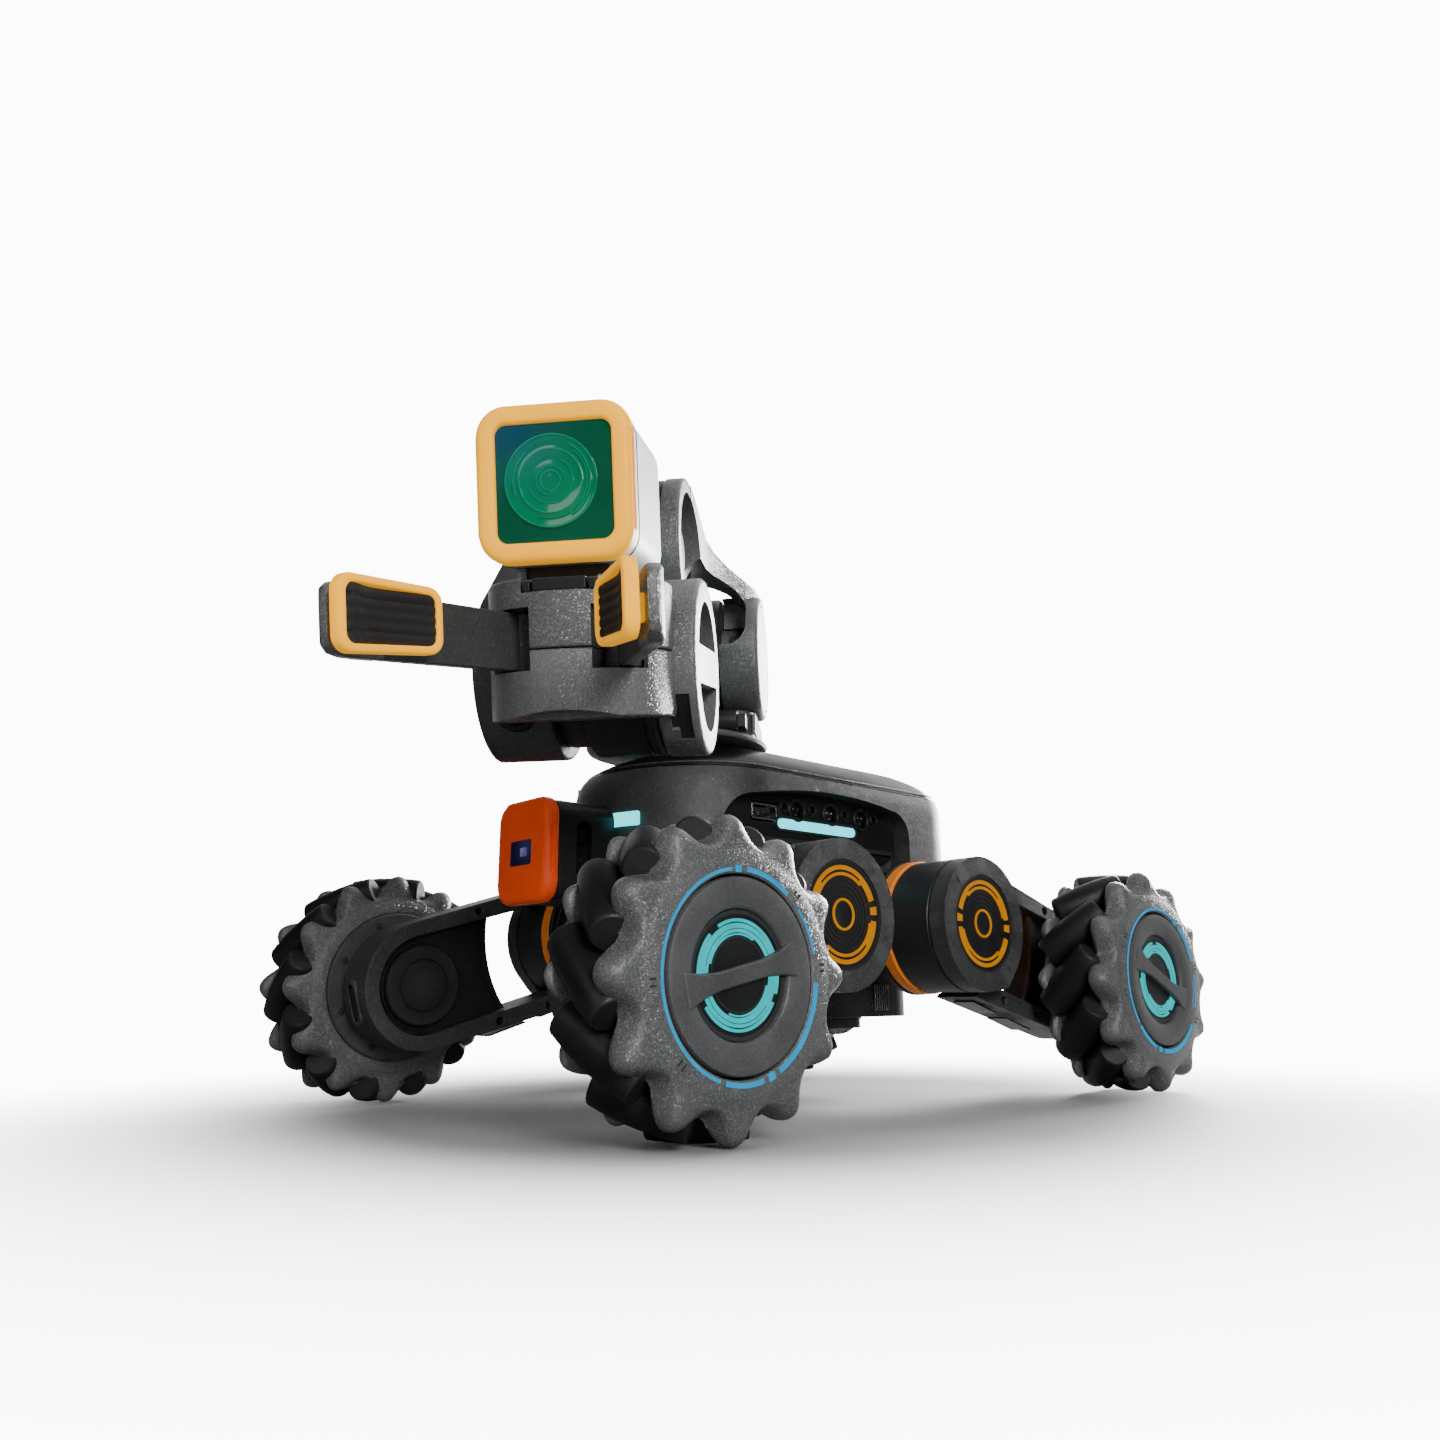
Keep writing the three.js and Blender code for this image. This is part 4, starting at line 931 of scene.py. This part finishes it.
piece("sensor_slot_plugs", "sensor_housing", [slot_plugs], [GLOSS])
NAVY = coated_glass("sensor_glass", (0.004, 0.005, 0.03), (0.01, 0.012, 0.07), (0.03, 0.03, 0.12),
                    (0.004, -0.1248, 0.0712), 0.009, glow=0.3)
VIOLET = coated_glass("sensor_emitter", (0.09, 0.08, 0.22), (0.05, 0.05, 0.14), (0.2, 0.18, 0.4),
                      (0.0, -0.1248, 0.0697), 0.004, glow=0.5)
pane = slab(rounded(-7.3, 7.3, 91.8, 101.2, 0.9), -124.6, -123.6, axis="y")
emitter = slab(rounded(-0.4, 4.4, 95.0, 98.4, 0.3), -124.7, -124.4, axis="y")
piece("sensor_glass_look", "sensor_window", [pane, emitter], [NAVY, VIOLET], bevel=0.12, segments=1,
      main=True)


# ------------------------------------------------------------------ arm
def at_joint(joint):
    return (-joint[0], joint[1])


column = slab(rounded(-34, 36, -20, 20, 8, 8), 150.1, 160.4, axis="z")
ribbed = []
for k in range(17):
    y = -16 + k * 2.0
    ribbed += block(35.4, 36.6, y - 0.55, y + 0.55, 151, 159.6)
for k in range(9):
    x = 14 + k * 2.1
    ribbed += block(x - 0.55, x + 0.55, -20.6, -19.5, 151, 159.6)
    ribbed += block(x - 0.55, x + 0.55, 19.5, 20.6, 151, 159.6)
cheek = slab(wrap([(0, 189, 28), (-19, 158, 1.2), (19, 158, 1.2)], 96), -34, -12.4)
piece("arm_pedestal", "arm_base", [column, ribbed, cheek], [GRAIN_DARK, GRAIN, GRAIN_DARK], ARM, bevel=0.5,
      segments=2, main=True)
table_disc = turned([(146.7, 11.0), (146.7, 37.6), (147.3, 39.4), (148.4, 40), (149.2, 39.7), (149.9, 38.8),
                     (150.3, 37.0), (150.3, 11.0)], 128, "z")
piece("turntable", "arm_base", [table_disc], [HUB], ARM)
plug = drum(4.6, 14, 30, 0.8, 32, "x", (-24.5, 154.8)) + block(30, 33.5, -27.5, -19, 151.5, 157)
piece("cable_plug", "arm_base", [plug], [BLACK], ARM, bevel=0.3)


def servo_look(name, slot, place, at, body_span, collar_start):
    """A servo: a slim collar, then the body with a groove near its far end; spans run along x."""
    a, b = body_span
    c, d = collar_start, a - 0.2
    profile = [(c, 0), (c, COLLAR_R - 1.0), (c + 0.4, COLLAR_R - 0.3), (c + 1.2, COLLAR_R),
               (d - 0.5, COLLAR_R), (d, COLLAR_R - 0.5), (d, COLLAR_R - 0.5), (a, BODY_R - 1.2),
               (a + 0.4, BODY_R - 0.35), (a + 1.2, BODY_R), (b - 4.4, BODY_R), (b - 4.2, BODY_R - 0.35),
               (b - 3.8, BODY_R - 0.35), (b - 3.6, BODY_R), (b - 1.0, BODY_R), (b, BODY_R - 0.96), (b, 0)]
    piece(name, slot, [turned(profile, 96, "x", at)], [BLACK], place, main=True)


BODY_R, COLLAR_R = 27.5, 24
servo_look("shoulder_drive", "shoulder_servo", ARM, at_joint(SHOULDER), (-4, 21.7), -12)
servo_look("elbow_drive", "elbow_servo", ARM, at_joint(ELBOW), (-18, 11.1), -26.7)
servo_look("wrist_drive", "wrist_servo", GRIP, (0, 0), (-3, 19.7), -12)

# upper link: a deep disc at the shoulder, a thin ring at the elbow, and a bar that steps outwards to the disc
LINK_SIDE = [(4, 216.8), (-8, 217.0), (-18, 218.4), (-30, 221.6), (-46, 226.6), (-60, 231.2), (-72, 234.4),
             (-81.6, 235.4), (-81.6, 214), (-66, 213.5), (-54, 211.5), (-42, 208.6), (-31, 204.6),
             (-24, 202.0), (-12, 196.0), (4, 192)]
LINK_ABOVE = [(11.4, -112), (18.6, -112), (18.8, -80), (19.4, -62), (20.2, -48), (22.4, -40), (27.2, -30),
              (33.6, -19.5), (37.0, -12.5), (39.4, 0), (39.4, 6), (30, 6), (29.0, -8), (25, -18), (17, -30),
              (11.4, -39)]

link_bar = raw("upper_link_look", slab(LINK_SIDE, 8, 42), ARM)
carve(link_bar, cutter(slab(LINK_ABOVE, 185, 240, "z"), ARM), operation="INTERSECT")
plate = cutter(placed(drum(28, 22.2, 39.4, 2.6, 96, edge0=0.6), AT_SHOULDER), ARM)
elbow_ring = cutter(placed(drum(28, 11.4, 18.6, 1.0, 96, edge0=0.5), AT_ELBOW), ARM)
carve(link_bar, plate, elbow_ring, operation="UNION")
notch_room = slab(rounded(12, 34.0, 187.5, 214, 9, 8), -60, -5, "y")
carve(link_bar,
      cutter(placed(rod(27.9, -30, 21.9), AT_SHOULDER), ARM),
      cutter(placed(rod(27.9, -30, 11.3), AT_ELBOW), ARM),
      cutter(placed(rod(22.6, 12.6, 40), AT_ELBOW), ARM), cutter(notch_room, ARM),
      cutter(placed(rod(14.2, 20, 32.9, 64), AT_SHOULDER), ARM))
carve(link_bar, cutter(placed(ring(23.4, 23.9, 38.9, 40.5, 96, edge=0.05), AT_SHOULDER), ARM))
dress(link_bar, "upper_arm_link", [GRAIN], 1.1, 3, main=True, angle=35)
elbow_hub = placed(drum(21.9, 11.5, 12.9, 0.3, 80) + drum(9.5, 12.4, 15.0, 0.8, 48), AT_ELBOW)
piece("link_hub_discs", "upper_arm_link", [elbow_hub], [GRAIN_DARK], ARM)
shoulder_cap = turned([(21.7, 0), (21.7, 13.6), (27.5, 13.6), (30.0, 12.8), (31.6, 11.0), (32.4, 8.0),
                       (32.5, 0)], 64)
cap_port = block(26.0, 30.0, -14.4, -12.2, 189.6, 195.4)
piece("shoulder_output_cap", "shoulder_servo",
      [placed(shoulder_cap, AT_SHOULDER), cap_port], [GRAIN, BLACK], ARM, bevel=0.3)

# forearm: outer plate with a long window, and the wrist bracket
fe, fw = at_joint(ELBOW), at_joint(WRIST)
reach = math.hypot(fw[0] - fe[0], fw[1] - fe[1])
du, dv = (fw[0] - fe[0]) / reach, (fw[1] - fe[1]) / reach


def along(t, v):
    return (fe[0] + du * t - dv * v, fe[1] + dv * t + du * v)


slot_hole = [along(t, v) for t, v in rounded(30, reach - 30, -13, 13, 8)]
fore = raw("forearm_look", slab(wrap([(*fe, 28), (*fw, 28)], 96), -34.5, -27.0, holes=[slot_hole]), ARM)
bracket = cutter(placed(drum(28, -34.5, -12.4, 1.2, 96), AT_WRIST), ARM)
carve(fore, bracket, operation="UNION")
carve(fore, cutter(placed(rod(17, -40, -33.2, 72), AT_WRIST), ARM),
      cutter(placed(rod(17, -40, -33.2, 72), AT_ELBOW), ARM),
      cutter(slab(rounded(-6.2, 6.2, -8.2, 8.2, 6.1, 8), -31, -25.2, axis="y"),
             ARM @ shift(-23, *fw) @ turn(38, "X")))
dress(fore, "forearm_frame", [GRAIN_DARK], 1.2, 3, main=True, angle=35)
caps, rings_deco = [], []
for at in (AT_WRIST, AT_ELBOW):
    caps += placed(drum(16.6, -33.9, -33.0, 0.3, 64), at)
    rings_deco += placed(ring(9.5, 10.4, -34.2, -33.7, 64, edge=0.12), at)
piece("forearm_covers", "forearm_frame", [caps, rings_deco], [BLACK, HUB], ARM)


def oval_port(name, slot, place, w, h, lift):
    """An oval cable port on a curved side: a raised rim round a dark socket."""
    def oval(inset):
        u, v = w / 2 - inset, h / 2 - inset
        return rounded(-u, u, -v, v, w / 2 - (inset + 0.2 if inset else 0.1), 8)

    rim = slab(oval(0), 0, 3.0, axis="y", holes=[oval(1.5)])
    piece(name, slot, [rim, slab(oval(1.2), 1.4, 3.0, axis="y")], [BLACK, GLOSS], place @ shift(0, -lift, 0),
          bevel=0.3)


oval_port("wrist_cable_port", "forearm_frame", ARM @ AT_WRIST @ shift(-23, 0, 0) @ turn(38, "X"), 11.2, 15.2,
          27.0)
oval_port("elbow_cable_port", "elbow_servo", ARM @ AT_ELBOW @ shift(3.6, 0, 0) @ turn(-27, "X"), 14, 21, 30.2)

# ------------------------------------------------------------------ gripper
DRUM_AT = (0, -29.7)
HANDLE_HALF = 4.2
# plan of the room a finger swings in: it leaves the drum's side wall standing
FINGER_ROOM = [(8.6, -33), (20.6, -33), (20.6, -43.5), (34, -56), (34, -70), (8.6, -70)]


def drum_part(name, z0, z1, shelf):
    o = raw(name, drum(26.7, z0, z1, 0.9, 128, "z", DRUM_AT), GRIP)
    cutters = [cutter(rod(28.2, -40, shelf), GRIP)]
    for side in SIDES.values():
        cutters.append(cutter(slab(FINGER_ROOM, -2.8, 14.6, "z"), GRIP @ mirror(side)))
    return o, cutters


lower, cut_low = drum_part("gripper_lower_look", -16, 2.85, 19.8)
arch = cutter(placed(rod(60, -20, 20, 96, "y"), shift(0, -66, -73.8)), GRIP)
carve(lower, *cut_low, arch)
yoke = cutter(drum(SERVO_R, 20, 33, 1.6, 96), GRIP)
# a short neck joins the drum's side wall to the yoke ring
neck = cutter(slab(box_outline(19.9, 26.2, -20, -33), -15.5, 2.7, "z"), GRIP)
carve(lower, yoke, neck, operation="UNION")
openings = []
for a0 in (14, 194):
    loop = arc_points(20.6, a0 - 4, a0 + 152 + 4, 24)
    openings.append(cutter(slab([(u, v) for u, v in loop if abs(v) > HANDLE_HALF], 24, 40), GRIP))
t_slot = [cutter(placed(block(*box), turn(37, "X")), GRIP)
          for box in ((26.2, 30.4, -40, -24.6, -8.3, 8.3), (24.0, 26.5, -40, -24.6, -4.0, 3.0))]
carve(lower, *openings, *t_slot)
dress(lower, "gripper_lower", [GRAIN], 0.55, 2, main=True, angle=38)
slot_floor = block(26.3, 30.3, -26.4, -24.4, -8.2, 8.2) + block(24.1, 26.6, -26.4, -24.4, -3.9, 2.9)
piece("yoke_slot_floor", "gripper_lower", [placed(slot_floor, turn(37, "X"))], [GLOSS], GRIP)
ring_glow = ring(15.2, 18.6, 23.4, 24.15, 72, edge=0.12) + ring(5.0, 6.2, 23.4, 24.15, 48, edge=0.12)
piece("wrist_marks", "gripper_lower", [ring_glow, drum(20.4, 22.6, 23.9, 0.2, 72)], [YELLOW, GLOSS], GRIP)

upper, cut_up = drum_part("gripper_upper_look", 3.15, 22.8, 33.4)
notch = cutter(block(-10.8, 10.8, -60, -49.5, 18.6, 24), GRIP)
carve(upper, *cut_up, notch)
dress(upper, "gripper_upper", [GRAIN], 0.55, 2, main=True, angle=38)
pins = both_sides(drum(1.8, -2.9, 14.7, 0.2, 24, "z", FINGER_PIVOT))
piece("pivot_pins", "gripper_lower", [pins], [STEEL], GRIP)
notch_block = block(-7.5, 7.5, -55.0, -49.0, 18.8, 22.4) + block(-10.4, -8.2, -54.6, -49.2, 18.8, 21.8)
notch_block += block(8.2, 10.4, -54.6, -49.2, 18.8, 21.8)
piece("camera_foot_socket", "gripper_upper", [notch_block], [GLOSS], GRIP, bevel=0.4)


# ------------------------------------------------------------------ fingers
PAD_HALF = 15.2
PAD_TWIST_AT = 12.5


def pad_flare(u):
    """How far the pad's long edges spread at u, near its far end."""
    return 0.9 * math.exp(-((u + PAD_TWIST_AT) / 4.5) ** 2)


def pad_bow(u):
    """How far the pad curves out of its plane at u."""
    along_pad = (u + PAD_HALF) / (2 * PAD_HALF)
    return -0.9 * math.exp(-((u + 12.0) / 6.0) ** 2) + 0.5 * math.sin(math.pi * along_pad)


def pad_frame_ring(inset, x):
    out = []
    corner = 3.8 - inset * 0.6
    for u, v in rounded(-PAD_HALF + inset, PAD_HALF - inset, -1.1 + inset, 15.1 - inset, corner, 8):
        lift = pad_flare(u) if v > 7 else -pad_flare(u) * 0.8
        out.append((x + pad_bow(u), u, v + lift))
    return out


def pad_rubber():
    """A grid face with four long grooves and two cross creases, closed by a plain back."""
    nu, nv = 40, 24
    u0, u1, v0, v1 = -PAD_HALF + 1.9, PAD_HALF - 1.9, 0.8, 13.2
    front, back = [], []
    for j in range(nv + 1):
        for i in range(nu + 1):
            u = u0 + (u1 - u0) * i / nu
            v = v0 + (v1 - v0) * j / nv
            s = (v - v0) / (v1 - v0)
            vv = v + pad_flare(u) * (2 * s - 1) * 0.9
            groove = max(0.0, *(1 - abs(s - g) / 0.045 for g in (0.2, 0.4, 0.6, 0.8)),
                         *(0.6 * (1 - abs(i / nu - c) / 0.03) for c in (0.1, 0.88)))
            edge = min(i, nu - i, j * 1.6, (nv - j) * 1.6) / nu
            rise = -1.0 - 0.35 * min(1, edge * 16) + 0.42 * groove
            front.append((rise + pad_bow(u), u, vv))
            back.append((1.0 + pad_bow(u), u, vv))
    w = nu + 1
    total = w * (nv + 1)
    faces = []
    for j in range(nv):
        for i in range(nu):
            a = j * w + i
            faces.append([a, a + 1, a + w + 1, a + w])
            faces.append([total + a, total + a + w, total + a + w + 1, total + a + 1])
    rim = list(range(w)) + [j * w + nu for j in range(1, nv + 1)]
    rim += [nv * w + i for i in range(nu - 1, -1, -1)] + [j * w for j in range(nv - 1, 0, -1)]
    for a, b in zip(rim, rim[1:] + rim[:1]):
        faces.append([b, a, total + a, total + b])
    return [(front + back, faces)]


def build_finger(side, name):
    body, pad = f"finger_{name}", f"finger_pad_{name}"
    place = finger_place(side)
    bar = [(-62, -2.0), (-62, 13.8), (-8, 14.0), (-2, 13.9), (2, 13.6), (2, -1.9), (-2, -2.2), (-10, -2.2)]
    arm_bar = slab(bar[::-1], -2.2, 2.2) + drum(5.4, -2.2, 14.0, 0.5, 48, "z")
    piece(f"finger_bar_{name}", body, [arm_bar], [GRAIN_DARK], place, bevel=0.6, main=True)
    rows = []
    for t, low, high, x_out in ((-60.5, -2.2, 14.0, 2.2), (-66, -2.2, 14.4, 2.2), (-71.5, -2.1, 14.9, 1.6),
                                (-75.5, -1.5, 14.6, 0.8), (-77.6, -0.2, 13.4, 0.0), (-78.5, 1.8, 11.6, -0.8)):
        rows.append([(u, t, v) for u, v in rounded(-3.0, x_out, low, high, 1.0, 3)])
    piece(f"finger_tip_{name}", body, [loft(rows)], [GRAIN], place, bevel=0.3)
    pad_place = place @ shift(-8.1, -64.5, 0) @ turn(9, "Z")
    frame_rows = [pad_frame_ring(inset, x) for inset, x in
                  ((0.0, 1.7), (0.0, -0.9), (0.35, -1.5), (0.9, -1.75), (1.6, -1.75), (1.95, -1.5),
                   (2.0, -0.9), (2.0, 1.7))]
    stub = block(1.2, 4.6, -9.5, -4.5, 2.5, 8.5)
    pad_frame = loft(frame_rows, ring_closed=True)
    piece(f"pad_frame_{name}", pad, [pad_frame, stub], [AMBER], pad_place, bevel=0.25, main=True)
    piece(f"pad_rubber_{name}", pad, [pad_rubber()], [PAD], pad_place)


for side_name, side in SIDES.items():
    build_finger(side, side_name)

# ------------------------------------------------------------------ camera
CAMERA_MIDDLE = (0, 48.0)
CAMERA_HALF = 21.7


def cam_loft(*rows, ring_closed=False):
    """A square form about the camera's middle; a row is inset, corner radius and distance forwards."""
    rings = []
    for inset, r, forwards in rows:
        half = CAMERA_HALF - inset
        rings.append(square_ring((half, half), r, -forwards, CAMERA_MIDDLE, 10))
    return loft(rings, ring_closed)


case = cam_loft((3.4, 5.6, 9.0), (1.6, 7.0, 9.4), (0.7, 7.8, 10.8), (0.5, 8.0, 13.5), (0.5, 8.0, 50.8),
                (0.9, 7.7, 51.3))
piece("camera_case", "camera_housing", [case], [WHITE], GRIP, main=True)
piece("camera_seam", "camera_housing", [cam_loft((0.3, 8.1, 46.2), (0.3, 8.1, 46.7))], [HUB], GRIP)
foot_case = slab(rounded(-12.5, 12.5, -46, -20, 3), 22.9, 28.5, axis="z")
piece("camera_foot", "camera_housing", [foot_case], [BLACK], GRIP, bevel=0.5)
bezel = cam_loft((0.25, 8.0, 51.6), (0.0, 8.4, 52.2), (0.0, 8.5, 55.2), (0.35, 8.3, 56.4), (1.1, 7.8, 57.2),
                 (2.1, 7.0, 57.5), (4.4, 4.6, 57.5), (4.95, 3.9, 57.3), (5.3, 3.4, 56.8), (5.45, 3.2, 56.0),
                 (5.45, 3.2, 51.6), ring_closed=True)
piece("camera_bezel_look", "camera_bezel", [bezel], [AMBER], GRIP, main=True)
line = slab(rounded(-55.0, -53.4, 34, 62, 0.75), 21.5, 21.95,
            holes=[rounded(-54.75, -53.65, 34.3, 61.7, 0.5)])
piece("bezel_side_lines", "camera_bezel", [both_sides(line)], [COLLAR], GRIP)
to_frame_grip = TO_FRAME @ GRIP
PANE = coated_glass("pane_green", (0.002, 0.055, 0.028), (0.001, 0.085, 0.04), (0.012, 0.035, 0.09),
                    tuple(to_frame_grip @ Vector((-15, -56, 63))), 0.021, glow=0.35)
LENS = coated_glass("lens_green", (0.0, 0.11, 0.05), (0.0, 0.16, 0.07), (0.0, 0.085, 0.08),
                    tuple(to_frame_grip @ Vector((-9, -56, 57))), 0.016, glow=0.4)
GLINT = coated_glass("lens_glint", (0.005, 0.2, 0.1), (0.0, 0.15, 0.07), (0.01, 0.18, 0.16),
                     tuple(to_frame_grip @ Vector((-8, -56, 56))), 0.016, glow=0.35)
pane = slab(rounded(-16.2, 16.2, 31.8, 64.2, 3.0), -56.0, -52.5, axis="y")
piece("camera_pane", "camera_glass", [pane], [PANE], GRIP, bevel=0.2, segments=1, main=True)
LENS_AT = (-0.8, 48.3)


def lens_turned(profile, n=96):
    return turned([(-f, r) for f, r in profile], n, "y", LENS_AT)


lens_body = lens_turned([(55.9, 0), (55.9, 12.9), (56.25, 12.8), (56.35, 12.2), (56.1, 11.6), (56.2, 10.2),
                         (56.1, 9.6), (56.3, 8.9), (56.45, 8.6), (56.25, 8.1), (56.3, 6.4), (56.2, 6.0),
                         (56.35, 5.4), (56.25, 4.2), (56.35, 3.6), (56.2, 3.0), (56.3, 1.6), (56.4, 0)])
glints = []
for r, w, a0, a1 in ((12.6, 0.35, 20, 340), (11.0, 0.3, 300, 420), (10.2, 0.22, 250, 410),
                     (10.4, 0.3, 130, 200), (8.75, 0.35, -40, 300), (6.2, 0.25, 200, 420),
                     (4.0, 0.25, 20, 260), (2.7, 0.3, 0, 359.9)):
    glint = arc(r - w / 2, r + w / 2, a0, a1, -56.62, -56.2, axis="y")
    glints += placed(glint, shift(LENS_AT[0], 0, LENS_AT[1]))
piece("lens_rings", "camera_glass", [lens_body, glints], [LENS, GLINT], GRIP)

# ------------------------------------------------------------------ stage
GROUND = -UNDERSIDE * 0.001


def stage_floor():
    """A plain pale floor that fades into the backdrop away from the part."""
    mesh = bpy.data.meshes.new("floor")
    s = 4.0
    mesh.from_pydata([(-s, -s, GROUND), (s, -s, GROUND), (s, s, GROUND), (-s, s, GROUND)], [], [(0, 1, 2, 3)])
    o = linked(bpy.data.objects.new("floor", mesh))
    m, tree, shader = new_material("pale_floor")
    coords = node(tree, "ShaderNodeTexCoord").outputs["Object"]
    cloud = node(tree, "ShaderNodeTexNoise", in_Scale=3.0, in_Detail=2.0)
    wire(coords, cloud.inputs["Vector"])
    pale = mix(tree, cloud.outputs["Fac"], [0.36, 0.36, 0.36, 1], [0.39, 0.39, 0.39, 1])
    path = node(tree, "ShaderNodeLightPath")
    wire(mix(tree, path.outputs["Is Camera Ray"], [0.15, 0.15, 0.15, 1], pale), shader.inputs["Base Color"])
    shader.inputs["Roughness"].default_value = 0.7
    away = node(tree, "ShaderNodeVectorMath", operation="DISTANCE")
    wire(coords, away.inputs[0])
    away.inputs[1].default_value = (*FLOOR_MIDDLE, GROUND)
    fade = node(tree, "ShaderNodeMapRange", interpolation_type="SMOOTHSTEP")
    wire(away.outputs["Value"], fade.inputs[0])
    fade.inputs[1].default_value, fade.inputs[2].default_value = FLOOR_FADE
    seen = node(tree, "ShaderNodeMath", operation="MULTIPLY")
    wire(fade.outputs[0], seen.inputs[0])
    wire(path.outputs["Is Camera Ray"], seen.inputs[1])
    glow = node(tree, "ShaderNodeEmission")
    glow.inputs[1].default_value = BACKDROP_SEEN
    blend = node(tree, "ShaderNodeMixShader")
    wire(seen.outputs[0], blend.inputs[0])
    wire(shader.outputs[0], blend.inputs[1])
    wire(glow.outputs[0], blend.inputs[2])
    wire(blend.outputs[0], tree.nodes["Material Output"].inputs["Surface"])
    mesh.materials.append(m)


FLOOR_MIDDLE, FLOOR_FADE = (0.02, -0.03), (0.14, 0.42)
BACKDROP_SIDE = (-0.45, 0.85, 0.25)
FRONT_FILL, BACKDROP_GLOW, BACKDROP_SEEN = 0.02, 1.5, 12.0
stage_floor()


def studio_world():
    """A white backdrop that lights the part from behind; the side nearer the viewer is dimmer."""
    world = bpy.data.worlds.new("studio")
    bpy.context.scene.world = world
    world.use_nodes = True
    tree = world.node_tree
    sky = tree.nodes["Background"]
    facing = node(tree, "ShaderNodeVectorMath", operation="DOT_PRODUCT")
    wire(node(tree, "ShaderNodeTexCoord").outputs["Generated"], facing.inputs[0])
    facing.inputs[1].default_value = Vector(BACKDROP_SIDE).normalized()
    lit = ramp(tree, facing.outputs["Value"], 0.35, 0.95, FRONT_FILL, BACKDROP_GLOW)
    seen = node(tree, "ShaderNodeMix")
    wire(node(tree, "ShaderNodeLightPath").outputs["Is Camera Ray"], seen.inputs[0])
    wire(lit, seen.inputs[2])
    seen.inputs[3].default_value = BACKDROP_SEEN
    wire(seen.outputs[0], sky.inputs[1])
    sky.inputs[0].default_value = (1, 1, 1, 1)


studio_world()


def soft_light(name, at, aim, size, watts, color=(1, 1, 1), size_y=None, mirrored=True):
    data = bpy.data.lights.new(name, "AREA")
    data.energy = watts
    data.color = color
    data.size = size
    if size_y:
        data.shape = "RECTANGLE"
        data.size_y = size_y
    o = linked(bpy.data.objects.new(name, data))
    o.location = at
    o.rotation_euler = (Vector(aim) - Vector(at)).to_track_quat("-Z", "Y").to_euler()
    o.visible_glossy = mirrored


soft_light("key_right", (0.95, -0.42, 0.36), (0.05, -0.05, 0.07), 0.3, 8.5, size_y=0.4)
soft_light("low_fill", (0.42, -0.62, 0.02), (-0.1, -0.12, 0.02), 0.25, 1.0, mirrored=False)
soft_light("front", (0.25, -0.95, 0.5), (0.0, -0.1, 0.08), 0.5, 1.4)
soft_light("rim_behind", (-0.12, 1.05, 0.4), (0.05, -0.08, 0.1), 0.5, 42, size_y=0.4)
soft_light("top", (0.25, 0.2, 0.95), (0, 0, 0.05), 0.6, 1.6)
soft_light("cyan_bounce", (0.05, -0.13, 0.118), (0.05, -0.13, 0.2), 0.02, 0.006, (0.0, 0.85, 1.0))

# camera: the viewing place and angle of the reference picture
AZ, PITCH, ROLL, FOCAL = rad(47.62), rad(14.353), rad(-0.553), 27.316
right = Vector((math.cos(AZ), math.sin(AZ), 0))
ahead = Vector((-math.sin(AZ) * math.cos(PITCH), math.cos(AZ) * math.cos(PITCH), math.sin(PITCH)))
up = right.cross(ahead)
right, up = right * math.cos(ROLL) + up * math.sin(ROLL), up * math.cos(ROLL) - right * math.sin(ROLL)
camera_data = bpy.data.cameras.new("viewpoint")
camera_data.lens = FOCAL
camera_data.sensor_width = 36
camera_data.clip_start = 0.005
camera = linked(bpy.data.objects.new("viewpoint", camera_data))
camera.matrix_world = Matrix.Translation((0.3628, -0.3510, 0.04105 + GROUND)) @ Matrix(
    (right, up, -ahead)).transposed().to_4x4()
bpy.context.scene.camera = camera

bpy.context.view_layer.update()
